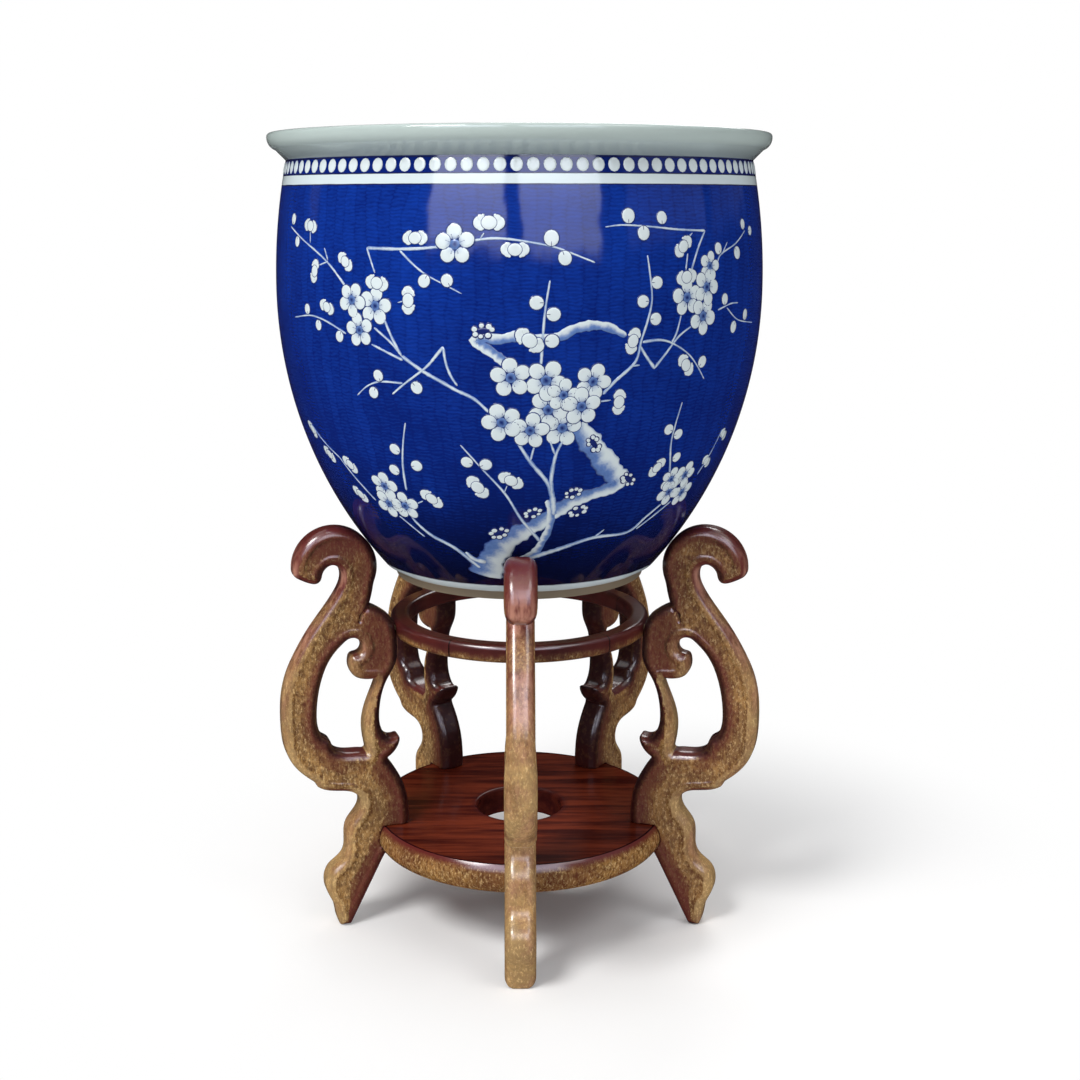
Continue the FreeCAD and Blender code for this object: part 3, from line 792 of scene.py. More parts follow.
@dataclass
class Painting:
    """The raised white and blue glaze of the sprays on one side of the bowl.

    Each shape is a thin closed plate whose back is under the glaze. The attribute "blue" goes
    from 0, white, to 1, the darkest cobalt.
    """

    wall_map: WallMap
    side: Side
    seed: int
    relief: float = 0.22 * MM
    layer_step: float = 0.025 * MM
    sink: float = 0.15 * MM
    outline: float = 0.55 * MM
    stamen_width: float = 0.16 * MM
    anther: float = 0.42 * MM
    notch_width: float = 0.32 * MM
    vertices: list[Point] = field(default_factory=list)
    faces: list[tuple[int, ...]] = field(default_factory=list)
    blue: list[float] = field(default_factory=list)

    def __post_init__(self) -> None:
        """Starts the random draws and the layers."""
        self.chance = random.Random(self.seed)
        self.layer = 0

    def place_of(self, pixel: Pixel) -> Pair:
        """Where a pixel of the sketch falls on this side of the bowl.

        Args:
            pixel: (x, y) in the photograph.

        Returns:
            The angle and the way up the wall.
        """
        angle, way = self.wall_map.place_of(pixel)
        return (math.pi - angle if self.side is Side.BACK else angle), way

    def add_point(self, place: Pair, offset: Pair, lift: float, blue: float) -> int:
        """Adds a vertex beside a place.

        Args:
            place: the angle and the way up the wall.
            offset: how far right and up from it, in metres.
            lift: how far off the wall.
            blue: the colour, from 0 to 1.

        Returns:
            The vertex's index.
        """
        mirror = -1.0 if self.side is Side.BACK else 1.0
        angle = place[0] + mirror * offset[0] / self.wall_map.radius(place[1])
        self.vertices.append(self.wall_map.point(angle, place[1] + offset[1], lift))
        self.blue.append(min(max(blue, 0.0), 1.0))
        return len(self.vertices) - 1

    def add_face(self, *corners: int) -> None:
        """Adds a face whose corners run anticlockwise on the front of the bowl.

        Args:
            corners: vertex indices.
        """
        self.faces.append(corners[::-1] if self.side is Side.BACK else corners)

    def disc(self, place: Pair, centre: Pair, radii: Pair,
             turn: float, blue: Tone, lift: float, segments: int = 14) -> None:
        """Adds a closed oval plate.

        Args:
            place: the spot that offsets count from.
            centre: the oval's middle, as an offset.
            radii: its half lengths along and across its turn.
            turn: the direction of its first half length, in radians.
            blue: the colour at an offset.
            lift: how far its top is off the wall.
            segments: how many corners it has.
        """
        rings = []
        for share, level in ((0.55, lift), (0.93, lift), (1.0, lift * 0.55), (1.0, -self.sink)):
            ring = []
            for step in range(segments):
                angle = 2 * math.pi * step / segments
                along = radii[0] * share * math.cos(angle)
                across = radii[1] * share * math.sin(angle)
                spot = turned(along, across, turn, centre)
                ring.append(self.add_point(place, spot, level, blue(*spot)))
            rings.append(ring)
        top = self.add_point(place, centre, lift, blue(*centre))
        back = self.add_point(place, centre, -self.sink, blue(*centre))
        for step in range(segments):
            after = (step + 1) % segments
            self.add_face(top, rings[0][step], rings[0][after])
            for inner, outer in zip(rings, rings[1:]):
                self.add_face(inner[step], outer[step], outer[after], inner[after])
            self.add_face(back, rings[-1][after], rings[-1][step])

    def ribbon(self, places: list[Pair], widths: Sequence[float], lift: float,
               blue: Tone, columns: int = 4) -> None:
        """Adds a closed stroke along places on the wall.

        Args:
            places: angles and ways up the wall, close together.
            widths: the stroke's width at each.
            lift: how far its top is off the wall.
            blue: the colour at a share of the length and a share across from -1 to 1.
            columns: how many strips it has across.
        """
        tops, backs = [], []
        mirror = -1.0 if self.side is Side.BACK else 1.0
        for index, (place, width) in enumerate(zip(places, widths)):
            before = places[max(index - 1, 0)]
            after = places[min(index + 1, len(places) - 1)]
            around = mirror * (after[0] - before[0]) * self.wall_map.radius(place[1])
            run = (around, after[1] - before[1])
            length = math.hypot(*run) or 1.0
            normal = (-run[1] / length, run[0] / length)
            share = index / (len(places) - 1)
            top, back = [], []
            for column in range(columns + 1):
                across = 1 - 2 * column / columns
                offset = (normal[0] * across * width / 2, normal[1] * across * width / 2)
                edge = 0.5 if column in (0, columns) else 1.0
                tone = blue(share, across)
                top.append(self.add_point(place, offset, lift * edge, tone))
                back.append(self.add_point(place, offset, -self.sink, tone))
            tops.append(top)
            backs.append(back)
        for row in range(len(places) - 1):
            for column in range(columns):
                here, there = slice(column, column + 2), row + 1
                first, second = tops[row][here]
                third, fourth = tops[there][here]
                self.add_face(first, second, fourth, third)
                first, second = backs[row][here]
                third, fourth = backs[there][here]
                self.add_face(second, first, third, fourth)
            self.add_face(tops[row][0], tops[row + 1][0], backs[row + 1][0], backs[row][0])
            self.add_face(tops[row + 1][-1], tops[row][-1], backs[row][-1], backs[row + 1][-1])
        for row, forward in ((0, True), (-1, False)):
            for column in range(columns):
                first, second = tops[row][column], tops[row][column + 1]
                third, fourth = backs[row][column + 1], backs[row][column]
                corners = (first, second, third, fourth)
                if forward:
                    corners = (second, first, fourth, third)
                self.add_face(*corners)

    def next_lift(self) -> float:
        """The lift of the next shape, a little above the shapes before it."""
        self.layer += 1
        return self.relief + self.layer_step * (self.layer % 12)

    def route(self, pixels: Sequence[Pixel], spacing: float) -> tuple[list[Pair], list[float]]:
        """A smooth route on the wall through pixels.

        Args:
            pixels: the points it passes.
            spacing: about how far apart its places are, in metres.

        Returns:
            The places, and how far along the pixels' list each one is.
        """
        knots = [self.place_of(pixel) for pixel in pixels]
        places, shares = [], []
        for index in range(len(knots) - 1):
            first, last = max(index - 1, 0), min(index + 2, len(knots) - 1)
            around = [np.array(knots[i]) for i in (first, index, index + 1, last)]
            span = around[2] - around[1]
            length = math.hypot(span[0] * self.wall_map.radius(around[1][1]), span[1])
            steps = max(2, round(length / spacing))
            for step in range(steps):
                share = step / steps
                places.append(tuple(catmull(around, share)))
                shares.append(index + share)
        places.append(knots[-1])
        shares.append(len(knots) - 1.0)
        return places, shares

    def paint_twig(self, twig: Twig) -> None:
        """Paints a thin branch.

        Args:
            twig: the branch.
        """
        places, shares = self.route(twig.through, 2.6 * MM)
        ends = len(twig.through) - 1
        taper = (twig.end - twig.start) / ends
        widths = [
            (twig.start + taper * share) * MM * self.chance.uniform(0.86, 1.12) for share in shares
        ]
        widths[0] *= 0.6
        widths[-1] *= 0.5
        phase = self.chance.uniform(0, 6)

        def blue(share: float, across: float) -> float:
            """A pale core with darker edges, uneven along the stroke."""
            brush = 0.08 * math.sin(share * 17 + phase)
            return twig.pale + brush + 0.42 * abs(across) ** 1.5

        self.ribbon(places, widths, self.next_lift(), blue)

    def paint_bough(self, bough: Bough) -> None:
        """Paints a thick limb in a white lit side and a blue washed side.

        Args:
            bough: the limb.
        """
        places, shares = self.route(bough.through, 2.4 * MM)
        phases = [self.chance.uniform(0, 6) for _ in range(3)]
        widths = []
        for share in shares:
            wobble = 0.10 * math.sin(share * 5 + phases[0])
            wobble += 0.07 * math.sin(share * 13 + phases[1])
            smooth_width = np.interp(share, range(len(bough.widths)), bough.widths)
            widths.append(smooth_width * (1 + wobble + self.chance.uniform(-0.05, 0.05)) * MM)
        widths[0] *= 0.45
        widths[-1] *= 0.45

        def blue(share: float, across: float) -> float:
            """White on the lit side, a grey-blue wash beyond it, ragged where they meet."""
            ragged = 0.18 * math.sin(share * 61 + phases[2]) + 0.12 * math.sin(share * 139)
            wash = (across * bough.shade_side + ragged + 0.55) / 1.1
            rim = max(abs(across) - 0.8, 0.0) * 1.6
            return 0.03 + 0.55 * min(max(wash, 0.0), 1.0) + rim

        self.ribbon(places, widths, self.next_lift() * 0.8, blue, columns=10)

    def paint_knot(self, knot: Knot) -> None:
        """Paints a dark eye ringed with dabs of white.

        Args:
            knot: the knot.
        """
        place = self.place_of(knot.at)
        turn = math.radians(knot.turn)
        size = knot.size * MM
        lift = self.next_lift() + 3 * self.layer_step
        for index in range(knot.dabs):
            angle = 2 * math.pi * index / knot.dabs + self.chance.uniform(-0.2, 0.2)
            along, across = knot.ring[0] * size * math.cos(angle), knot.ring[1] * size * math.sin(angle)
            centre = turned(along, across, turn)
            dab = size * self.chance.uniform(0.30, 0.46)
            self.disc(place, centre, (dab * 1.3, dab * 1.3), turn, flat_tone(1.0), lift, 8)
            top = lift + self.layer_step
            self.disc(place, centre, (dab, dab * 0.85), turn, flat_tone(0.02), top, 8)
        eye = (size * knot.eye[0], size * knot.eye[1])
        self.disc(place, (0.0, 0.0), eye, turn, flat_tone(1.0), lift + 2 * self.layer_step, 10)

    def paint_petal(self, place: Pair, centre: Pair, radii: Pair,
                    turn: float, reach: float, lift: float) -> None:
        """Paints one white petal with a thin dark outline and a blue throat.

        Args:
            place: the middle of the blossom.
            centre: the petal's middle, as an offset.
            radii: its half lengths along and across.
            turn: the direction it points in, in radians.
            reach: how far from the blossom's middle the blue throat fades out, or 0 for none.
            lift: how far it is off the wall.
        """
        rim = (radii[0] + self.outline, radii[1] + self.outline)
        self.disc(place, centre, rim, turn, flat_tone(0.85), lift)

        def throat(x: float, y: float) -> float:
            """Blue near the blossom's middle."""
            return 0.62 * max(0.0, 1 - math.hypot(x, y) / reach) ** 1.3 if reach else 0.0

        self.disc(place, centre, radii, turn, throat, lift + self.layer_step)

    def paint_flower(self, flower: Flower) -> None:
        """Paints an open blossom: five petals, a dark eye and stamens.

        Args:
            flower: the blossom.
        """
        place = self.place_of(flower.at)
        size = flower.size * MM * 0.93
        step = self.layer_step
        lift = self.next_lift() + 2 * step
        reach = size * flower.petal_reach
        for index in range(flower.petals):
            turn = 360 / flower.petals * index + self.chance.uniform(-4, 4)
            angle = math.radians(flower.turn + turn)
            radii = (size * self.chance.uniform(0.385, 0.42), size * self.chance.uniform(0.37, 0.41))
            petal_lift = lift + 2 * step * (index % 2)
            self.paint_petal(place, turned(reach, 0.0, angle), radii, angle, reach, petal_lift)
        top = lift + 6 * step
        eye = size * flower.eye

        def eye_tone(x: float, y: float) -> float:
            """Dark, and paler towards the eye's rim."""
            return 0.95 - 0.45 * math.hypot(x, y) / eye

        self.disc(place, (0.0, 0.0), (eye, eye), 0.0, eye_tone, top, 10)
        for index in range(flower.stamens):
            angle = math.radians(flower.turn + 360 / flower.stamens * index + flower.stamen_turn)
            inner, outer = size * flower.stamen_start, size * self.chance.uniform(0.42, 0.5)
            half = ((outer - inner) / 2, self.stamen_width)
            middle = turned((inner + outer) / 2, 0.0, angle)
            self.disc(place, middle, half, angle, flat_tone(0.75), top + step, 6)
            tip = (self.anther, self.anther)
            self.disc(place, turned(outer, 0.0, angle), tip, angle, flat_tone(0.8), top + 2 * step, 6)

    def paint_half_blossom(self, blossom: HalfBlossom) -> None:
        """Paints a half-open blossom: two side lobes, a front lobe and pale sepals.

        Args:
            blossom: the blossom.
        """
        place = self.place_of(blossom.at)
        size = blossom.size * MM
        turn = math.radians(blossom.turn)
        lift = self.next_lift() + 2 * self.layer_step
        for side in (-1, 1):
            for across, along, long, wide in blossom.side_lobes:
                centre = turned(along * size, side * size * across, turn)
                self.paint_petal(place, centre, (size * long, size * wide), turn, 0.0, lift)
        radii = (size * blossom.front_lobe[0], size * blossom.front_lobe[1])
        self.paint_petal(place, (0.0, 0.0), radii, turn, 0.0, lift + 2 * self.layer_step)
        dot = size * blossom.crest_size
        for side in (-1, 1):
            centre = turned(size * blossom.crest[0], side * size * blossom.crest[1], turn)
            top = lift + 3 * self.layer_step
            self.disc(place, centre, (dot, dot), turn, flat_tone(0.05), top, 8)

    def paint_bud(self, bud: Bud) -> None:
        """Paints a round bud with a short dark notch.

        Args:
            bud: the bud.
        """
        place = self.place_of(bud.at)
        size = bud.size * MM
        turn = math.radians(bud.turn)
        lift = self.next_lift() + 2 * self.layer_step
        radii = (size * bud.roundness[0], size * bud.roundness[1])
        self.paint_petal(place, (0.0, 0.0), radii, turn, 0.0, lift)
        half = (size * bud.notch_length, self.notch_width)
        notch = turned(size * bud.notch_at, 0.0, turn)
        self.disc(place, notch, half, turn, flat_tone(0.9), lift + 3 * self.layer_step, 6)

    def build(self, material: Material) -> Object:
        """Paints every shape of the sketch on this side.

        Args:
            material: the painting's finish.

        Returns:
            The painting.
        """
        brushes: dict[type, Callable] = {
            Bough: self.paint_bough,
            Twig: self.paint_twig,
            Knot: self.paint_knot,
            HalfBlossom: self.paint_half_blossom,
            Bud: self.paint_bud,
            Flower: self.paint_flower,
        }
        for kind, brush in brushes.items():
            for shape in SPRAYS:
                if type(shape) is kind:
                    brush(shape)
        name = f"prunus_painting_{self.side.name.lower()}"
        piece = new_object(name, self.vertices, self.faces, material)
        tone = piece.data.attributes.new("blue", "FLOAT", "POINT")
        tone.data.foreach_set("value", self.blue)
        return piece


def flat_tone(blue: float) -> Tone:
    """A colour that is the same everywhere, from 0, white, to 1, the darkest cobalt."""
    return lambda x, y: blue


def turned(along: float, across: float, turn: float, middle: Pair = (0.0, 0.0)) -> Pair:
    """An offset from a middle, given along and across a direction.

    Args:
        along: how far along the direction.
        across: how far to its left.
        turn: the direction, in radians.
        middle: where it starts.

    Returns:
        The offset.
    """
    return (
        middle[0] + along * math.cos(turn) - across * math.sin(turn),
        middle[1] + along * math.sin(turn) + across * math.cos(turn),
    )


def catmull(around: Sequence[Array], share: float) -> Array:
    """A point of a smooth curve between the second and third of four points.

    Args:
        around: four points.
        share: how far along from the second to the third.

    Returns:
        The point.
    """
    before, start, end, after = around
    return 0.5 * (
        2 * start
        + (end - before) * share
        + (2 * before - 5 * start + 4 * end - after) * share**2
        + (3 * start - before - 3 * end + after) * share**3
    )


# ---------------------------------------------------------------- finishes

@dataclass(frozen=True)
class PorcelainFinish:
    """Glazed porcelain: cobalt ground in short brush strokes, white bands and a bare foot."""

    deep: Colour = (0.001, 0.003, 0.026)
    ground: Colour = (0.0025, 0.014, 0.150)
    bright: Colour = (0.005, 0.040, 0.33)
    white: Colour = (0.62, 0.71, 0.745)
    celadon: Colour = (0.44, 0.52, 0.505)
    # A darker celadon: painted shade on the underside of the lip.
    painted_shade_celadon: Colour = (0.235, 0.285, 0.30)
    ink: Colour = (0.012, 0.016, 0.07)
    biscuit: Colour = (0.22, 0.17, 0.11)
    columns: int = 116
    column_sway: Mottle = Mottle(28.0, amount=1.3)
    stroke: float = 3.1 * MM
    stroke_stagger: float = 7.0
    stroke_sway: Mottle = Mottle(120.0, amount=1.6)
    stroke_shade: float = 0.16
    cloud: Mottle = Mottle(22.0, 4.0, 0.6, 0.9)
    dabs: Mottle = Mottle(150.0, 3.0, 0.6, 1.1)
    dab_shape: Point = (1.0, 1.0, 4.2)
    paler_above: Pair = (0.40, 0.70)
    darker_below: Pair = (0.365, 0.50)
    plainer_below: Pair = (0.365, 0.48)
    line_shake: Mottle = Mottle(45.0, 3.0, amount=1.6 * MM)
    line_blur: float = 0.35 * MM
    line_width: Pair = (0.75 * MM, 0.3 * MM)
    foot_line: float = 0.3572
    foot_band: float = 0.3655
    ground_top: float = 0.7130
    bead_bottom: float = 0.7217
    bead_top: float = 0.7354
    lip_shade: float = 14 * MM
    inner_facing: Pair = (0.35, 0.15)
    inner_floor: Pair = (0.3625, 0.3640)
    recess_radius: float = 0.1195
    recess_top: float = 0.3605
    ripple: Mottle = Mottle(34.0)
    grit: Mottle = Mottle(900.0, 1.0, amount=0.8)

    def cobalt(self, graph: Graph, place: Socket) -> Socket:
        """The blue ground, laid in columns of short level strokes.

        Args:
            graph: the material's graph.
            place: where it is read.

        Returns:
            Its colour.
        """
        x, y, z = graph.split(place)
        turns = graph.times(graph.angle(x, y), self.columns / (2 * math.pi))
        column = graph.plus(turns, graph.sway(place, self.column_sway))
        draw = graph.add("ShaderNodeTexWhiteNoise", noise_dimensions="1D")
        graph.feed(draw.inputs["W"], graph.math("FLOOR", column))
        stagger = graph.times(draw.outputs[0], self.stroke_stagger)
        row = graph.plus(graph.math("DIVIDE", z, self.stroke), stagger)
        sway = graph.times(graph.noise(place, self.stroke_sway), self.stroke_sway.amount)
        row = graph.plus(row, sway)
        wave = graph.math("SINE", graph.times(row, 2 * math.pi))
        seam = graph.rise(graph.gap(graph.math("FRACT", column), 0.5), 0.34, 0.5)
        tone = graph.times(graph.plus(wave, draw.outputs[0]), self.stroke_shade)
        dabbed = graph.vector_math("MULTIPLY", place, self.dab_shape)
        tone = graph.plus(tone, graph.sway(dabbed, self.dabs))
        tone = graph.plus(tone, graph.sway(place, self.cloud))
        tone = graph.minus(tone, graph.times(seam, 0.17))
        tone = graph.plus(tone, graph.times(graph.rise(z, *self.paler_above), 0.42), clamp=True)
        lower = graph.mix(graph.rise(z, *self.darker_below), self.deep, self.ground)
        return graph.mix(graph.times(tone, graph.rise(z, *self.plainer_below)), lower, self.bright)

    def build(self) -> Material:
        """Makes the material.

        Returns:
            The material, in object coordinates of the whole model.
        """
        material, graph, shader = new_material("glazed_porcelain")
        coords = graph.add("ShaderNodeTexCoord")
        place = coords.outputs["Object"]
        x, y, z = graph.split(place)
        blur = self.line_blur
        shake = graph.sway(place, self.line_shake)
        level = graph.plus(z, shake)
        steady = graph.plus(z, graph.times(shake, 0.35))
        bands = (
            (level, self.foot_line, blur, self.white),
            (level, self.foot_band, 2 * blur, self.cobalt(graph, place)),
            (steady, self.ground_top, blur, self.white),
            (steady, self.bead_bottom, blur, self.ground),
        )
        colour: object = self.biscuit
        for height, line, soft, above in bands:
            colour = graph.mix(graph.rise(height, line - soft, line + soft), colour, above)
        for line in (self.ground_top, self.bead_bottom, self.bead_top - 0.9 * MM):
            colour = graph.mix(graph.rise(graph.gap(steady, line), *self.line_width), colour, self.ink)
        # Painted shade: the celadon lip is darker at its foot, under the flare, and lightens over
        # lip_shade above it.
        lip_rise = graph.rise(z, self.bead_top, self.bead_top + self.lip_shade)
        lip = graph.mix(lip_rise, self.painted_shade_celadon, self.celadon)
        colour = graph.mix(graph.rise(z, self.bead_top - blur, self.bead_top + blur), colour, lip)
        facing = graph.add("ShaderNodeVectorMath", operation="DOT_PRODUCT")
        graph.feed(facing.inputs[0], coords.outputs["Normal"])
        graph.feed(facing.inputs[1], graph.vector_math("NORMALIZE", graph.join(x, y, 0.0)))
        inner = graph.times(
            graph.rise(facing.outputs["Value"], *self.inner_facing), graph.rise(z, *self.inner_floor),
            graph.math("LESS_THAN", z, self.bead_top),
        )
        colour = graph.mix(inner, colour, self.celadon)
        within = graph.math("LESS_THAN", graph.from_axis(x, y), self.recess_radius)
        under = graph.times(within, graph.math("LESS_THAN", z, self.recess_top))
        graph.feed(shader.inputs["Base Color"], graph.mix(under, colour, self.biscuit))
        bare = graph.most(graph.rise(level, self.foot_line + blur, self.foot_line - blur), under)
        graph.feed(shader.inputs["Roughness"], graph.share(bare, 0.6, 0.07))
        grit = graph.times(graph.noise(place, self.grit), bare, self.grit.amount)
        graph.bump(shader, graph.plus(graph.noise(place, self.ripple), grit), 0.25, 0.4 * MM)
        return material


@dataclass(frozen=True)
class PaintingFinish:
    """White slip and cobalt under the glaze."""

    white: Colour = (0.64, 0.72, 0.75)
    wash: Colour = (0.11, 0.20, 0.46)
    ink: Colour = (0.010, 0.020, 0.13)
    uneven: Mottle = Mottle(420.0, 3.0, amount=0.30)
    roughness: float = 0.09

    def build(self) -> Material:
        """Makes the material, which reads the attribute "blue".

        Returns:
            The material.
        """
        material, graph, shader = new_material("painted_glaze")
        place = graph.place()
        blue = graph.attribute("blue")["Fac"]
        uneven = graph.times(graph.sway(place, self.uneven), graph.rise(blue, 0.02, 0.3))
        amount = graph.plus(blue, uneven, clamp=True)
        colour = graph.mix(graph.rise(amount, 0.0, 0.55), self.white, self.wash)
        colour = graph.mix(graph.rise(amount, 0.5, 0.95), colour, self.ink)
        graph.feed(shader.inputs["Base Color"], colour)
        shader.inputs["Roughness"].default_value = self.roughness
        return material


@dataclass(frozen=True)
class LegWearShadeAndSheen:
    """Where a leg is worn or painted with shade and sheen, as the ends of smooth steps.

    Levels are heights and depths are distances from the outline's edge, in metres. A facing is the
    outward share of the surface's direction, and an edge that of the way to the nearest edge.
    """

    flat_facing: Pair = (0.80, 0.93)
    # The inboard, ring and foot steps, and the right-hand share of left_side, place painted shade; the
    # scroll and crown steps place the lacquer's own colour.
    inboard_edge: Pair = (0.05, -0.55)
    inboard_depth: Pair = (0.021, 0.005)
    scroll_level: Pair = (0.345, 0.385)
    scroll_depth: Pair = (0.020, 0.008)
    ring_reach: Pair = (0.182, 0.150)
    ring_level: Pair = (0.215, 0.25)
    foot_edge: Pair = (0.2, -0.4)
    foot_depth: Pair = (0.033, 0.010)
    foot_level: Pair = (0.21, 0.15)
    left_side: Pair = (0.06, -0.06)
    crown_level: Pair = (0.345, 0.39)
    low_level: Pair = (0.345, 0.22)
    low_edge: Pair = (0.05, 0.5)
    low_facing: Pair = (-0.1, 0.2)
    # Painted shade: where inward-facing lacquer is darkened.
    inward_shade_facing: Pair = (0.1, -0.5)
    inward_shade_level: Pair = (0.05, 0.12)
    # Painted highlight: where the pink sheen lies on the lacquer.
    pink_sheen_facing: Pair = (0.35, 0.95)
    pink_sheen_level: Pair = (0.395, 0.355)
    pink_sheen_streaks: Pair = (0.36, 0.62)
    lip_bottom: Pair = (0.302, 0.314)
    lip_top: Pair = (0.345, 0.322)
    lip_facing: Pair = (0.3, 0.8)


@dataclass(frozen=True)
class LacquerFinish:
    """Burgundy lacquer over gilt that shows where it is worn; the legs add painted shade and sheen."""

    burgundy: Colour = (0.125, 0.020, 0.016)
    maroon: Colour = (0.035, 0.006, 0.007)
    painted_pink_sheen: Colour = (0.50, 0.23, 0.16)
    # A pink sheen painted on the lacquer as a highlight.
    gilt: Colour = (0.47, 0.25, 0.074)
    olive: Colour = (0.22, 0.115, 0.038)
    straw: Colour = (0.80, 0.55, 0.24)
    umber: Colour = (0.09, 0.026, 0.010)
    mahogany: tuple[Colour, Colour] = ((0.045, 0.005, 0.003), (0.17, 0.028, 0.011))
    glue_line: Colour = (0.012, 0.003, 0.003)
    roughness: float = 0.32
    coat: float = 0.9
    coat_ior: float = 1.65
    coat_roughness: float = 0.19
    base_specular: float = 0.15
    gilt_patches: Mottle = Mottle(26.0, 3.0, 0.6)
    umber_specks: Mottle = Mottle(330.0, 5.0, 0.75, 0.74)
    straw_specks: Mottle = Mottle(480.0, 5.0, 0.75, 0.8)
    ragged_edge: Mottle = Mottle(130.0, 4.0, 0.7, 0.012)
    pink_sheen_streak_noise: Mottle = Mottle(120.0, 4.0, 0.65)
    uneven_gloss: Mottle = Mottle(90.0, 3.0, amount=0.2)
    leg_bumps: Mottle = Mottle(240.0, 4.0, 0.6)
    shelf_bumps: Mottle = Mottle(160.0, 3.0)
    ring_tints: Mottle = Mottle(40.0, 3.0)
    ring_bumps: Mottle = Mottle(260.0, 3.0)
    wear: LegWearShadeAndSheen = LegWearShadeAndSheen()

    def polish(self, shader: bpy.types.Node) -> None:
        """Sets the lacquer's gloss, which is the same all over.

        Args:
            shader: the Principled BSDF.
        """
        gloss = {
            "Coat Roughness": self.coat_roughness, "Coat Weight": self.coat,
            "Coat IOR": self.coat_ior, "Specular IOR Level": self.base_specular,
        }
        for name, value in gloss.items():
            shader.inputs[name].default_value = value

    def gilding(self, graph: Graph, vector: Socket, wear: bpy.types.Node) -> Socket:
        """The worn gilt ground: olive gold with straw patches and umber flecks.

        Args:
            graph: the material's graph.
            vector: where it is read.
            wear: the wear group's node.

        Returns:
            Its colour.
        """
        drawn = graph.vector_math("MULTIPLY", vector, (1.0, 1.0, 0.5))
        patches = graph.rise(graph.noise(vector, self.gilt_patches), 0.30, 0.66)
        specks = graph.rise(graph.noise(drawn, self.umber_specks), 0.56, 0.40)
        bright = graph.rise(graph.noise(drawn, self.straw_specks), 0.50, 0.66)
        colour = graph.mix(patches, self.olive, self.gilt)
        for mask, amount, over in (
            (specks, self.umber_specks.amount, self.umber),
            (wear.outputs["Patches"], 0.30, self.umber),
            (bright, self.straw_specks.amount, self.straw),
            (wear.outputs["Flecks"], 0.55, self.umber),
        ):
            colour = graph.mix(graph.times(mask, amount), colour, over)
        return colour

    def build_leg(self, wear_tree: NodeTree) -> Material:
        """Makes the legs' finish, which reads "leg_place", "leg_facing" and "leg_edge".

        Args:
            wear_tree: the wear group.

        Returns:
            The material.
        """
        material, graph, shader = new_material("worn_lacquer_leg_and_painted_light")
        place, where = graph.place(), self.wear
        out, _, up = graph.split(graph.attribute("leg_place")["Vector"])
        facing_out, facing_side, _ = graph.split(graph.attribute("leg_facing")["Vector"])
        edge_out, _, depth = graph.split(graph.attribute("leg_edge")["Vector"])
        depth = graph.plus(depth, graph.sway(place, self.ragged_edge))
        wear = graph.group(wear_tree, Vector=place, Scale=34.0)
        left = graph.rise(graph.split(place)[0], *where.left_side)

        def step_product(amount: object, *steps: tuple[Socket, Pair]) -> Socket:
            """The product of an amount and of some smooth steps."""
            return graph.times(amount, *(graph.rise(value, *ends) for value, ends in steps))

        # Where the gilt gives way to lacquer. Painted shade: near the inner edges, near the ring, on the
        # inner half of the feet, and more on the legs at the right, away from the key lamp. The scroll's
        # edges and the left crowns are the lacquer's own colour.
        dark = graph.most(
            step_product(0.92, (edge_out, where.inboard_edge), (depth, where.inboard_depth)),
            step_product(0.80, (out, where.ring_reach), (up, where.ring_level)),
            step_product(0.85, (up, where.scroll_level), (depth, where.scroll_depth)),
            step_product(
                0.85, (edge_out, where.foot_edge), (depth, where.foot_depth), (up, where.foot_level)
            ),
            step_product(graph.share(left, 0.5, 0.38), (up, where.crown_level)),
            graph.times(graph.minus(1.0, left), 0.20),
        )
        sideways = graph.math("ABSOLUTE", facing_side)
        flat = step_product(graph.minus(1.0, dark), (sideways, where.flat_facing))
        low = step_product(
            graph.share(wear.outputs["Patches"], 0.42, 0.58),
            (up, where.low_level), (edge_out, where.low_edge), (facing_out, where.low_facing),
        )
        lip = step_product(
            0.75, (up, where.lip_bottom), (up, where.lip_top), (facing_out, where.lip_facing)
        )
        flecks = graph.times(wear.outputs["Flecks"], 0.14)
        gilt_showing = graph.most(graph.plus(graph.most(flat, low), flecks, clamp=True), lip)
        # Painted highlight: a streaky pink sheen on outward-facing lacquer below the scroll.
        drawn = graph.vector_math("MULTIPLY", place, (1.0, 1.0, 0.22))
        streaks = graph.noise(drawn, self.pink_sheen_streak_noise)
        painted_pink_sheen = step_product(
            1.0, (facing_out, where.pink_sheen_facing), (up, where.pink_sheen_level),
            (streaks, where.pink_sheen_streaks),
        )
        # Painted shade: inward-facing lacquer above the feet turns maroon.
        inward_painted_shade = step_product(
            1.0, (facing_out, where.inward_shade_facing), (up, where.inward_shade_level)
        )
        lacquer = graph.mix(painted_pink_sheen, graph.mix(inward_painted_shade, self.burgundy, self.maroon), self.painted_pink_sheen)
        # Painted highlight: where the outward lower parts show gilt, it is lightened towards straw.
        gold = graph.mix(graph.times(low, 0.34), self.gilding(graph, place, wear), self.straw)
        graph.feed(shader.inputs["Base Color"], graph.mix(gilt_showing, lacquer, gold))
        uneven = graph.noise(place, self.uneven_gloss)
        gloss = graph.share(uneven, self.uneven_gloss.amount, self.roughness)
        graph.feed(shader.inputs["Roughness"], gloss)
        self.polish(shader)
        graph.bump(shader, graph.noise(place, self.leg_bumps), 0.35, 0.6 * MM)
        return material

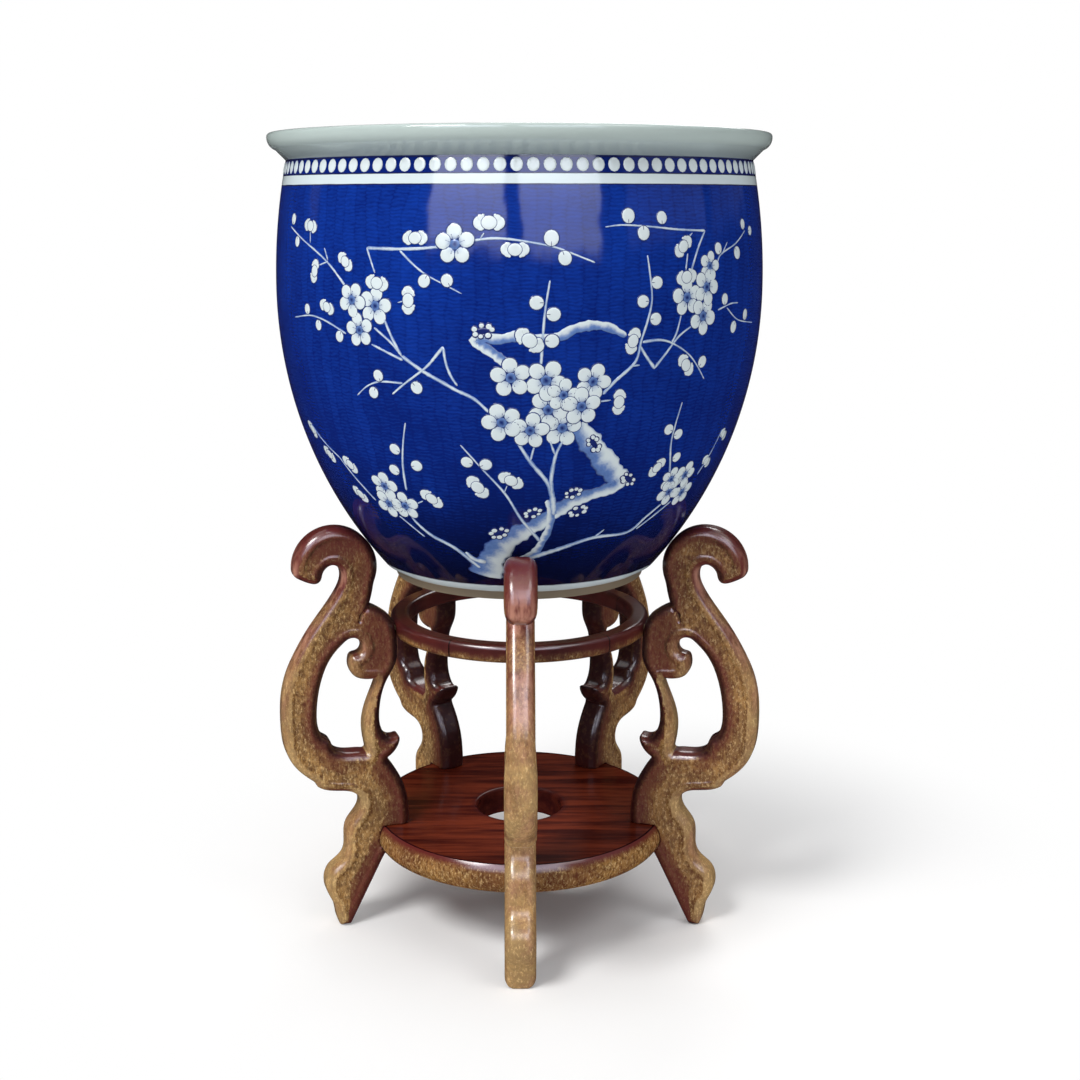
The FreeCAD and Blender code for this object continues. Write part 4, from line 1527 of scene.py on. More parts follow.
    def build_shelf(self, wear_tree: NodeTree, grain_tree: NodeTree,
                    radius: float, top: float) -> Material:
        """Makes the shelf's finish: polished mahogany with a worn nose.

        Args:
            wear_tree: the wear group.
            grain_tree: the grain group.
            radius: the shelf's radius.
            top: the height of its top.

        Returns:
            The material.
        """
        material, graph, shader = new_material("mahogany_shelf")
        place = graph.place()
        x, y, z = graph.split(place)
        away = graph.from_axis(x, y)
        grain = graph.group(grain_tree, Vector=place)
        wear = graph.group(wear_tree, Vector=place, Scale=30.0)
        groove = graph.gap(away, radius - 6.0 * MM)
        board = graph.mix(grain.outputs["Streaks"], *self.mahogany)
        for mask, amount in (
            (grain.outputs["Pores"], 0.45), (graph.rise(away, 52 * MM, 44 * MM), 0.6),
            (graph.rise(groove, 1.6 * MM, 0.8 * MM), 1.0),
        ):
            board = graph.mix(graph.times(mask, amount), board, self.maroon)
        nose = graph.rise(away, radius - 6.2 * MM, radius - 5.0 * MM)
        low = graph.rise(z, top - 1 * MM, top - 8 * MM)
        gilt_showing = graph.times(low, graph.share(wear.outputs["Patches"], 0.35, 0.65))
        edge = graph.mix(gilt_showing, self.burgundy, self.gilding(graph, place, wear))
        graph.feed(shader.inputs["Base Color"], graph.mix(nose, board, edge))
        shader.inputs["Roughness"].default_value = 0.45
        self.polish(shader)
        shader.inputs["Specular IOR Level"].default_value = 0.0
        graph.feed(shader.inputs["Coat Weight"], graph.share(nose, 0.6, 0.3))
        height = graph.plus(grain.outputs["Pores"], graph.noise(place, self.shelf_bumps))
        graph.bump(shader, height, 0.2, 0.3 * MM)
        return material

    def build_ring(self, wear_tree: NodeTree, radius: float, bottom: float,
                   rails: int, seam_turn: float) -> Material:
        """Makes the ring's finish: burgundy, worn to gilt along its lower outer edge.

        Args:
            wear_tree: the wear group.
            radius: the ring's outer radius.
            bottom: the height of its underside.
            rails: how many rails it has.
            seam_turn: how far the seams are from the middle between legs, in degrees.

        Returns:
            The material.
        """
        material, graph, shader = new_material("lacquered_ring")
        place = graph.place()
        x, y, z = graph.split(place)
        wear = graph.group(wear_tree, Vector=place, Scale=70.0)
        outer = graph.rise(graph.from_axis(x, y), radius - 10 * MM, radius - 3 * MM)
        low = graph.rise(z, bottom + 10.5 * MM, bottom + 3 * MM)
        gilt_showing = graph.times(outer, low, graph.share(wear.outputs["Patches"], 0.75, 0.1))
        lacquer = graph.mix(graph.noise(place, self.ring_tints), self.maroon, self.burgundy)
        colour = graph.mix(gilt_showing, lacquer, self.gilding(graph, place, wear))
        turn = graph.minus(graph.angle(x, y), math.radians(seam_turn))
        rail = graph.math("DIVIDE", turn, 2 * math.pi / rails)
        seam = graph.rise(graph.gap(graph.math("FRACT", rail), 0.5), 0.0065, 0.0028)
        graph.feed(shader.inputs["Base Color"], graph.mix(seam, colour, self.glue_line))
        shader.inputs["Roughness"].default_value = self.roughness
        self.polish(shader)
        graph.bump(shader, graph.noise(place, self.ring_bumps), 0.3, 0.4 * MM)
        return material


@dataclass(frozen=True)
class PlainFinish:
    """A fixing's finish: one colour with fine variation."""

    name: str
    colour: Colour
    dark: Colour
    metallic: float
    roughness: float
    scale: float

    def build(self) -> Material:
        """Makes the material.

        Returns:
            The material.
        """
        material, graph, shader = new_material(self.name)
        speck = graph.noise(graph.place(), Mottle(self.scale, 4.0))
        colour = graph.mix(graph.rise(speck, 0.4, 0.7), self.colour, self.dark)
        graph.feed(shader.inputs["Base Color"], colour)
        shader.inputs["Metallic"].default_value = self.metallic
        shader.inputs["Roughness"].default_value = self.roughness
        return material


# ---------------------------------------------------------------- sub-assemblies

def arc_points(start: Pixel, middle: Pixel, end: Pixel, steps: int) -> list[Pixel]:
    """Points along the arc through three points, without the first.

    Args:
        start: the first point.
        middle: a point between.
        end: the last point.
        steps: how many points it gives.

    Returns:
        The points.
    """
    (ax, az), (bx, bz), (cx, cz) = start, middle, end
    twice = 2 * (ax * (bz - cz) + bx * (cz - az) + cx * (az - bz))
    a, b, c = ax**2 + az**2, bx**2 + bz**2, cx**2 + cz**2
    centre = (
        (a * (bz - cz) + b * (cz - az) + c * (az - bz)) / twice,
        (a * (cx - bx) + b * (ax - cx) + c * (bx - ax)) / twice,
    )
    radius = math.hypot(ax - centre[0], az - centre[1])
    first = math.atan2(az - centre[1], ax - centre[0])
    sweep = math.remainder(math.atan2(cz - centre[1], cx - centre[0]) - first, 2 * math.pi)
    angles = [first + sweep * (step + 1) / steps for step in range(steps)]
    return [turned(radius, 0.0, angle, centre) for angle in angles]


@dataclass(frozen=True)
class BowlShell:
    """The turned bowl, finer than the model's own mesh. Radii and heights are from its foot."""

    wall: BowlWall
    thickness: float = 9.5 * MM
    body_start: float = 13.0 * MM
    foot_radius: float = 121.5 * MM
    foot_ring: Pair = (13.0 * MM, 7.0 * MM)
    foot_recess: float = 8.0 * MM
    foot_draft: float = 1.5 * MM
    flare: float = 9.0 * MM
    rim_radius: float = 230.0 * MM
    rim_height: float = 410.0 * MM
    rim_round: float = 3.2 * MM
    rim_under_bulge: float = 0.17
    rim_drop: float = 2.5 * MM
    mouth_round: float = 3.0 * MM
    floor_height: float = 16.0 * MM
    floor_corner: Pair = (41.0 * MM, 34.0 * MM)
    floor_sag: Pair = (14.0 * MM, 10.5 * MM)
    segments: int = 240
    outer_steps: int = 90
    inner_steps: int = 40
    sharp_from: float = math.radians(32)

    def profile(self) -> list[Pair]:
        """The bowl's section.

        Returns:
            Radii and heights from the middle of its underside round to the middle of its floor.
        """
        wall, sag = self.wall, 1 - math.sqrt(0.5)
        ring_inner = self.foot_radius - self.foot_ring[0]
        points = [
            (0.0, self.foot_recess), (ring_inner - self.foot_draft, self.foot_recess),
            (ring_inner, 0.0), (self.foot_radius - self.foot_draft, 0.0),
            (self.foot_radius, self.foot_ring[1]),
        ]
        for height in np.linspace(self.body_start, wall.neck_height, self.outer_steps):
            points.append((float(wall.radius_at(wall.foot + height)), height))
        flare = (wall.neck_radius + self.flare, wall.neck_height + self.flare)
        rim_low = (self.rim_radius, self.rim_height - self.rim_round)
        run = (rim_low[0] - flare[0], rim_low[1] - flare[1])
        under = (
            (flare[0] + rim_low[0]) / 2 + run[1] * self.rim_under_bulge,
            (flare[1] + rim_low[1]) / 2 - run[0] * self.rim_under_bulge,
        )
        corner = (self.rim_radius - self.rim_round * sag, self.rim_height - self.rim_round * sag)
        rim_top = (self.rim_radius - self.rim_round, self.rim_height)
        points += [flare] + arc_points(flare, under, rim_low, 8)
        points += arc_points(rim_low, corner, rim_top, 6)
        mouth = wall.neck_radius - self.thickness
        mouth_height = self.rim_height - self.rim_drop
        mouth_edge = (mouth + self.mouth_round, mouth_height)
        mouth_corner = (mouth + self.mouth_round * sag, mouth_height - self.mouth_round * sag)
        mouth_low = (mouth, mouth_height - self.mouth_round)
        points += [mouth_edge] + arc_points(mouth_edge, mouth_corner, mouth_low, 5)
        corner_height = self.floor_height + self.floor_corner[1]
        inner = BowlWall(
            wall.belly_radius - self.thickness, wall.belly_height, wall.body_arc - self.thickness,
            mouth, wall.neck_height, wall.foot,
        )
        heights = np.linspace(wall.neck_height, corner_height, self.inner_steps)
        points += [(float(inner.radius_at(wall.foot + height)), height) for height in heights]
        side = points[-1]
        bend = (side[0] - self.floor_sag[0], self.floor_height + self.floor_sag[1])
        points += arc_points(side, bend, (side[0] - self.floor_corner[0], self.floor_height), 10)
        return points + [(0.0, self.floor_height)]

    def build(self, material: Material) -> Object:
        """Turns the section.

        Args:
            material: the bowl's finish.

        Returns:
            The bowl.
        """
        section = self.profile()
        rings = section[1:-1]
        foot = self.wall.foot
        vertices = []
        for radius, height in rings:
            for step in range(self.segments):
                angle = 2 * math.pi * step / self.segments
                across, back = radius * math.sin(angle), radius * math.cos(angle)
                vertices.append((across, -back, foot + height))
        vertices += [(0.0, 0.0, foot + section[end][1]) for end in (0, -1)]
        faces = []
        for row in range(len(rings) - 1):
            for step in range(self.segments):
                after = (step + 1) % self.segments
                lower, upper = row * self.segments, (row + 1) * self.segments
                faces.append((lower + step, lower + after, upper + after, upper + step))
        last = (len(rings) - 1) * self.segments
        for step in range(self.segments):
            after = (step + 1) % self.segments
            faces.append((after, step, len(vertices) - 2))
            faces.append((last + step, last + after, len(vertices) - 1))
        bowl = new_object("turned_bowl", vertices, faces, material)
        bowl.data.set_sharp_from_angle(angle=self.sharp_from)
        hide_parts("jardiniere")
        return bowl


@dataclass
class PrunusBowl:
    """The bowl with its bands, its row of beads and its painted sprays."""

    wall: BowlWall
    view: Viewpoint
    bead_count: int = 103
    bead_width: float = 10.4 * MM
    bead_height: float = 11.4 * MM
    bead_relief: float = 0.45 * MM
    bead_level: float = 0.72825

    def build(self, nodes: dict[str, Object]) -> None:
        """Dresses the bowl and adds what is painted on it.

        Args:
            nodes: the model's nodes by name; not used.
        """
        settle(BowlShell(self.wall).build(PorcelainFinish().build()), "bowl")
        paint = PaintingFinish().build()
        wall_map = WallMap(self.wall, self.view)
        for side in Side:
            settle(Painting(wall_map, side, seed=7 + side.value).build(paint), "bowl")
        settle(self.build_beads(paint), "bowl")

    def build_beads(self, material: Material) -> Object:
        """Sets the row of white beads under the lip with geometry nodes.

        Args:
            material: their finish.

        Returns:
            The row as one mesh.
        """
        tree = self.bead_tree(material)
        radius = float(self.wall.radius_at(self.bead_level))
        above, below = (self.wall.radius_at(self.bead_level + side * MM) for side in (1, -1))
        lean = float(above - below) / (2 * MM)
        carrier = bpy.data.objects.new("bead_carrier", bpy.data.meshes.new("bead_carrier"))
        bpy.context.scene.collection.objects.link(carrier)
        modifier = carrier.modifiers.new("beads", "NODES")
        modifier.node_group = tree
        values = {
            "Count": self.bead_count, "Row Radius": radius, "Level": self.bead_level,
            "Lean": -math.atan(lean), "Half Width": self.bead_width / 2,
            "Half Height": self.bead_height / 2, "Relief": self.bead_relief,
        }
        for item in tree.interface.items_tree:
            if item.name in values:
                modifier[item.identifier] = values[item.name]
        evaluated = carrier.evaluated_get(bpy.context.evaluated_depsgraph_get())
        mesh = bpy.data.meshes.new_from_object(evaluated)
        carrier.modifiers.remove(modifier)
        bpy.data.objects.remove(carrier)
        mesh.name = "bead_row"
        blue = mesh.attributes.new("blue", "FLOAT", "POINT")
        blue.data.foreach_set("value", [0.0] * len(mesh.vertices))
        piece = bpy.data.objects.new("bead_row", mesh)
        bpy.context.scene.collection.objects.link(piece)
        return piece

    def bead_tree(self, material: Material) -> NodeTree:
        """The geometry node tree that sets flattened beads round a circle.

        Args:
            material: their finish.

        Returns:
            The tree, with its sizes as named inputs.
        """
        tree = bpy.data.node_groups.new("bead_row", "GeometryNodeTree")
        tree.interface.new_socket("Geometry", in_out="OUTPUT", socket_type="NodeSocketGeometry")
        tree.interface.new_socket("Count", in_out="INPUT", socket_type="NodeSocketInt")
        for name in ("Row Radius", "Level", "Lean", "Half Width", "Half Height", "Relief"):
            tree.interface.new_socket(name, in_out="INPUT", socket_type="NodeSocketFloat")
        graph = Graph(tree)
        source = graph.add("NodeGroupInput").outputs
        circle = graph.add("GeometryNodeMeshCircle")
        graph.feed(circle.inputs["Vertices"], source["Count"])
        graph.feed(circle.inputs["Radius"], source["Row Radius"])
        raised = graph.add("GeometryNodeTransform")
        graph.feed(raised.inputs["Geometry"], circle.outputs[0])
        graph.feed(raised.inputs["Translation"], graph.join(0.0, 0.0, source["Level"]))
        ball = graph.add("GeometryNodeMeshUVSphere")
        ball.inputs["Segments"].default_value = 12
        ball.inputs["Rings"].default_value = 6
        ball.inputs["Radius"].default_value = 1.0
        bead = graph.add("GeometryNodeTransform")
        graph.feed(bead.inputs["Geometry"], ball.outputs["Mesh"])
        half = graph.join(source["Relief"], source["Half Width"], source["Half Height"])
        graph.feed(bead.inputs["Scale"], half)
        leaned = graph.add("GeometryNodeTransform")
        graph.feed(leaned.inputs["Geometry"], bead.outputs[0])
        lean = graph.join(0.0, graph.times(source["Lean"], -1.0), 0.0)
        graph.feed(leaned.inputs["Rotation"], lean)
        x, y, _ = graph.split(graph.add("GeometryNodeInputPosition").outputs[0])
        around = graph.join(0.0, 0.0, graph.math("ARCTAN2", y, x))
        placed = graph.add("GeometryNodeInstanceOnPoints")
        graph.feed(placed.inputs["Points"], raised.outputs[0])
        graph.feed(placed.inputs["Instance"], leaned.outputs[0])
        graph.feed(placed.inputs["Rotation"], around)
        real = graph.add("GeometryNodeRealizeInstances")
        graph.feed(real.inputs[0], placed.outputs[0])
        smooth = graph.add("GeometryNodeSetShadeSmooth")
        graph.feed(smooth.inputs[0], real.outputs[0])
        finish = graph.add("GeometryNodeSetMaterial")
        graph.feed(finish.inputs[0], smooth.outputs[0])
        finish.inputs["Material"].default_value = material
        graph.feed(graph.add("NodeGroupOutput").inputs[0], finish.outputs[0])
        return tree


def dress(node: Object, material: Material) -> None:
    """Gives a node of the model its finish.

    Args:
        node: the node's object.
        material: the finish.
    """
    for slot in node.material_slots:
        slot.material = material


def section_segments(node: Object, turn: float, level: float) -> Array:
    """Cuts a leg of the model with a plane beside its middle.

    Args:
        node: the leg's object.
        turn: the leg's angle from +X, in radians.
        level: how far from the leg's middle plane the cut is.

    Returns:
        The cut's segments, as (segment, end, (outwards, up)) in the leg's own plane.
    """
    work = bmesh.new()
    work.from_mesh(node.data)
    bmesh.ops.transform(work, matrix=Matrix.Rotation(-turn, 4, "Z"), verts=work.verts)
    bmesh.ops.remove_doubles(work, verts=work.verts, dist=0.002 * MM)
    cut = bmesh.ops.bisect_plane(
        work, geom=list(work.verts) + list(work.edges) + list(work.faces),
        plane_co=(0, level, 0), plane_no=(0, 1, 0),
    )
    edges = [item for item in cut["geom_cut"] if isinstance(item, bmesh.types.BMEdge)]
    segments = np.array([[(vertex.co.x, vertex.co.z) for vertex in edge.verts] for edge in edges])
    work.free()
    return segments


@dataclass(frozen=True)
class Carving:
    """The carver's sizes for a leg, in metres."""

    edge_round: float = 9.0 * MM
    voxel: float = 1.4 * MM
    section_level: float = 8.0 * MM
    waist_half: float = 12.6 * MM
    waist_top: Pair = (0.345, 0.375)
    waist_bottom: Pair = (0.215, 0.255)
    shelf_nose: float = 5.2 * MM
    crease: tuple[Pair, ...] = (
        (0.1525, 0.3262), (0.1570, 0.3222), (0.1612, 0.3165), (0.1628, 0.3108),
    )
    bead_width: float = 9.5 * MM
    face_sink: float = 1.1 * MM
    bead_slope: Pair = (-0.4 * MM, 1.6 * MM)
    crease_width: float = 1.7 * MM
    crease_blend: float = 0.8 * MM
    housing_slack: float = 0.3 * MM
    housing_reach: float = 0.4 * MM
    housing_depth: float = 33.0 * MM


@dataclass
class ScrollLegs:
    """The five carved legs, shaped by a distance field and set in the model's places."""

    names: tuple[str, ...] = (
        "leg_front", "leg_right", "leg_back_right", "leg_back_left", "leg_left",
    )
    first_turn: float = -90.0
    carving: Carving = Carving()

    def build(self, nodes: dict[str, Object], material: Material) -> None:
        """Carves one leg and sets it in all five places.

        Args:
            nodes: the model's nodes by name.
            material: the legs' finish.
        """
        count = len(self.names)
        turns = [math.radians(self.first_turn + 360 / count * index) for index in range(count)]
        corner_low, corner_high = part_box(self.names[0])
        half = (corner_high[0] - corner_low[0]) / 2
        segments = section_segments(nodes[self.names[0]], turns[0], self.carving.section_level)
        field_grid, origin, depth = self.carve_field(segments, half, corner_high[2])
        points, faces = surface_nets(field_grid, origin, self.carving.voxel)
        normals = field_normals(field_grid, origin, self.carving.voxel, points)
        edges = edge_directions(depth, origin, self.carving.voxel, points)
        for name, turn in zip(self.names, turns):
            spin = np.array(Matrix.Rotation(turn, 3, "Z"))
            spun = (points @ spin.T).tolist()
            piece = new_object(f"carved_{name}", spun, faces.tolist(), material)
            marks = {"leg_place": points, "leg_facing": normals, "leg_edge": edges}
            for label, values in marks.items():
                attribute = piece.data.attributes.new(label, "FLOAT_VECTOR", "POINT")
                attribute.data.foreach_set("vector", values.astype(np.float32).ravel())
            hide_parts(name)
            settle(piece, "stand")

    def half_thickness(self, up: Array, half: float) -> Array:
        """Half the leg's thickness by height: full at scroll, bulge and foot, less at the waist.

        Args:
            up: heights.
            half: the full half thickness.

        Returns:
            The half thickness at each height.
        """
        shape = self.carving
        above = step_between(up, *shape.waist_top)
        below = 1 - step_between(up, *shape.waist_bottom)
        return shape.waist_half + (half - shape.waist_half) * np.maximum(above, below)

    def carve_field(self, segments: Array, half: float,
                    top: float) -> tuple[Array, Array, Array]:
        """The signed distance to the carved leg, negative inside.

        Args:
            segments: the sawn outline in the leg's plane.
            half: half the leg's thickness.
            top: the leg's height.

        Returns:
            The field on a grid, the place of the grid's first point, and the flat outline's own
            signed distance.
        """
        shape = self.carving
        margin = 2.5 * shape.voxel
        low = np.array([segments[..., 0].min() - margin, -half - margin, -margin])
        high = np.array([segments[..., 0].max() + margin, half + margin, top + margin])
        counts = np.ceil((high - low) / shape.voxel).astype(int) + 1
        out, side, up = (low[axis] + shape.voxel * np.arange(counts[axis]) for axis in range(3))
        flat_out, flat_up = np.meshgrid(out, up, indexing="ij")
        shelf_low, shelf_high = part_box("shelf")
        middles = segments.mean(axis=1)
        bottom, lid = shelf_low[2] - shape.housing_slack, shelf_high[2] + shape.housing_slack
        housed = middles[:, 0] < shelf_high[0] + shape.housing_slack
        housed &= (middles[:, 1] > bottom) & (middles[:, 1] < lid)
        inside = even_odd(segments, flat_out, flat_up)
        notch = (flat_out < shelf_high[0] + shape.housing_reach) & (flat_up > bottom)
        notch &= (flat_up < lid) & (flat_out > shelf_high[0] - shape.housing_depth)
        gap = distance_to(segments[~housed], flat_out, flat_up)
        outline = np.where(inside | notch, -gap, gap)[:, None, :]
        thick = self.half_thickness(up, half)[None, None, :]
        slope = [shape.bead_width + end for end in shape.bead_slope]
        ridge = step_between(-outline, *slope)
        thick = thick - shape.face_sink * ridge
        beside = np.abs(side)[None, :, None]
        first = outline + shape.edge_round
        second = beside - (thick - shape.edge_round)
        corner = np.hypot(np.maximum(first, 0), np.maximum(second, 0))
        body = np.minimum(np.maximum(first, second), 0) + corner - shape.edge_round
        sole = -up[None, None, :]
        body = np.maximum(body, sole)
        crease_line = np.array(shape.crease)
        crease_segments = np.stack([crease_line[:-1], crease_line[1:]], axis=1)
        near_crease = distance_to(crease_segments, flat_out, flat_up)[:, None, :]
        groove = np.hypot(near_crease, (beside - thick)) - shape.crease_width
        body = smooth_cut(body, -groove, shape.crease_blend)
        away = np.hypot(out[:, None], side[None, :])[:, :, None]
        shelf_middle = (shelf_low[2] + shelf_high[2]) / 2
        shelf_half = (shelf_high[2] - shelf_low[2]) / 2
        level = (up - shelf_middle)[None, None, :]
        swell = shape.shelf_nose * (1 - np.minimum(level / shelf_half, 1) ** 2)
        shelf_edge = shelf_high[0] - shape.shelf_nose + swell
        shelf = np.maximum(away - shelf_edge, np.abs(level) - shelf_half)
        return np.maximum(body, -shelf), low, outline[:, 0, :]


def smooth_cut(body: Array, cutter: Array, blend: float) -> Array:
    """The larger of two fields, with a soft corner between them.

    Args:
        body: a signed distance.
        cutter: the negative of the tool's signed distance.
        blend: how soft the corner is.

    Returns:
        The cut field.
    """
    share = np.clip(0.5 + 0.5 * (body - cutter) / blend, 0, 1)
    return cutter * (1 - share) + body * share + blend * share * (1 - share)


def step_between(value: Array, low: float, high: float) -> Array:
    """A smooth step from 0 at low to 1 at high."""
    share = np.clip((value - low) / (high - low), 0, 1)
    return share * share * (3 - 2 * share)


def distance_to(segments: Array, across: Array, up: Array) -> Array:
    """The distance from each point of a grid to the nearest of some segments.

    Args:
        segments: (segment, end, 2).
        across: the grid's first coordinate.
        up: the grid's second coordinate.

    Returns:
        The distances, shaped as the grid.
    """
    nearest = np.full(across.shape, np.inf)
    for start, end in segments:
        span = end - start
        length = float(span @ span)
        if length == 0:
            continue
        share = np.clip(((across - start[0]) * span[0] + (up - start[1]) * span[1]) / length, 0, 1)
        away = (across - start[0] - share * span[0]) ** 2 + (up - start[1] - share * span[1]) ** 2
        np.minimum(nearest, away, out=nearest)
    return np.sqrt(nearest)


def even_odd(segments: Array, across: Array, up: Array) -> Array:
    """Whether each point of a grid is inside closed outlines.

    Args:
        segments: (segment, end, 2).
        across: the grid's first coordinate.
        up: the grid's second coordinate.

    Returns:
        True inside.
    """
    inside = np.zeros(across.shape, dtype=bool)
    for (x0, z0), (x1, z1) in segments:
        if z0 == z1:
            continue
        crosses = (up >= min(z0, z1)) & (up < max(z0, z1))
        inside ^= crosses & (across < x0 + (up - z0) * (x1 - x0) / (z1 - z0))
    return inside


def surface_nets(grid: Array, origin: Array, voxel: float) -> tuple[Array, Array]:
    """Turns a signed distance grid into a closed quad mesh.

    Args:
        grid: the field, negative inside.
        origin: the place of its first point.
        voxel: its spacing.

    Returns:
        The vertices and the quads, facing outwards.
    """
    inside = grid < 0
    sums = np.zeros((*(np.array(grid.shape) - 1), 3))
    counts = np.zeros(np.array(grid.shape) - 1)
    corner = np.indices(counts.shape).transpose(1, 2, 3, 0).astype(float)
    for axis in range(3):
        for first in (0, 1):
            for second in (0, 1):
                offset = np.zeros(3, dtype=int)
                offset[(axis + 1) % 3] = first
                offset[(axis + 2) % 3] = second
                here = tuple(slice(offset[i], offset[i] + counts.shape[i]) for i in range(3))
                step = offset.copy()
                step[axis] += 1
                there = tuple(slice(step[i], step[i] + counts.shape[i]) for i in range(3))
                start, end = grid[here], grid[there]
                crossed = inside[here] != inside[there]
                share = np.where(crossed, start / np.where(crossed, start - end, 1), 0)
                spot = corner + offset
                spot[..., axis] += share
                sums += np.where(crossed[..., None], spot, 0)
                counts += crossed
    used = counts > 0
    index = np.full(counts.shape, -1)
    index[used] = np.arange(used.sum())
    vertices = origin + voxel * sums[used] / counts[used][:, None]
    quads = []
    for axis in range(3):
        body = [slice(1, -1)] * 3
        body[axis] = slice(0, -1)
        after = list(body)
        after[axis] = slice(1, None)
        start, end = inside[tuple(body)], inside[tuple(after)]
        for leaving in (True, False):
            cells = np.argwhere(start & ~end if leaving else ~start & end)
            for other in range(3):
                if other != axis:
                    cells[:, other] += 1
            first, second = np.zeros(3, dtype=int), np.zeros(3, dtype=int)
            first[(axis + 1) % 3] = 1
            second[(axis + 2) % 3] = 1
            ring = [cells - first - second, cells - second, cells, cells - first]
            quad = np.stack([index[tuple(corners.T)] for corners in ring], axis=1)
            quads.append(quad if leaving else quad[:, ::-1])
    return vertices, np.concatenate(quads)


def field_normals(grid: Array, origin: Array, voxel: float, points: Array) -> Array:
    """The outward direction of a field near some points.

    Args:
        grid: the field.
        origin: the place of its first point.
        voxel: its spacing.
        points: the points.

    Returns:
        Unit vectors.
    """
    slopes = np.stack(np.gradient(grid), axis=-1)
    cells = np.clip(np.round((points - origin) / voxel).astype(int), 0, np.array(grid.shape) - 1)
    directions = slopes[tuple(cells.T)]
    return directions / np.maximum(np.linalg.norm(directions, axis=1), 1e-9)[:, None]


def edge_directions(outline: Array, origin: Array, voxel: float, points: Array) -> Array:
    """Which way, and how far, the nearest edge of the leg's outline is from each point.

    Args:
        outline: the signed distance to the outline, in the leg's plane.
        origin: the place of the grid's first point.
        voxel: its spacing.
        points: points on the leg.

    Returns:
        (outwards, upwards, distance) for each point.
    """
    slopes = np.stack(np.gradient(outline), axis=-1)
    cells = np.round((points[:, [0, 2]] - origin[[0, 2]]) / voxel).astype(int)
    cells = np.clip(cells, 0, np.array(outline.shape) - 1)
    directions = slopes[tuple(cells.T)]
    directions = directions / np.maximum(np.linalg.norm(directions, axis=1), 1e-9)[:, None]
    return np.column_stack([directions, -outline[tuple(cells.T)]])


@dataclass
class Stand:
    """The stand: legs, ring, shelf and the fixings inside it."""

    legs: ScrollLegs
    lacquer: LacquerFinish
    ring_rails: int = 5
    seam_turn: float = 5.0
    peg_wood: PlainFinish = PlainFinish(
        "dowel_wood", (0.50, 0.35, 0.19), (0.33, 0.21, 0.10), 0.0, 0.6, 500.0
    )
    screw_steel: PlainFinish = PlainFinish(
        "screw_steel", (0.50, 0.50, 0.52), (0.22, 0.20, 0.19), 1.0, 0.35, 900.0
    )

    def build(self, nodes: dict[str, Object]) -> None:
        """Dresses the ring, the shelf and the fixings, and carves the legs.

        Args:
            nodes: the model's nodes by name.
        """
        wear_tree, grain_tree = wear_group(), grain_group()
        shelf_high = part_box("shelf")[1]
        board = self.lacquer.build_shelf(wear_tree, grain_tree, shelf_high[0], shelf_high[2])
        dress(nodes["shelf"], board)
        ring_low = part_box("ring_rail_1")[0]
        ring = self.lacquer.build_ring(
            wear_tree, -ring_low[1], ring_low[2], self.ring_rails, self.seam_turn
        )
        for index in range(self.ring_rails):
            dress(nodes[f"ring_rail_{index + 1}"], ring)
        wood = self.peg_wood.build()
        dress(nodes["ring_dowels"], wood)
        dress(nodes["ring_seam_pins"], wood)
        dress(nodes["shelf_screws"], self.screw_steel.build())
        self.legs.build(nodes, self.lacquer.build_leg(wear_tree))
        LOG.info("stand dressed")


# ---------------------------------------------------------------- studio

@dataclass(frozen=True)
class Softbox:
    """A soft lamp."""

    name: str
    place: Point
    target: Point
    size: float
    power: float
    colour: Colour = (1.0, 1.0, 1.0)

    def build(self) -> None:
        """Makes the lamp."""
        data = bpy.data.lights.new(self.name, "AREA")
        data.shape = "DISK"
        data.size = self.size
        data.energy = self.power
        data.color = self.colour
        lamp = bpy.data.objects.new(self.name, data)
        bpy.context.scene.collection.objects.link(lamp)
        lamp.location = self.place
        aim = Vector(self.target) - Vector(self.place)
        lamp.rotation_euler = aim.to_track_quat("-Z", "Y").to_euler()


@dataclass(frozen=True)
class Pane:
    """A bright pane of the surround, in degrees from the front."""

    middle: float
    half: float
    strength: float


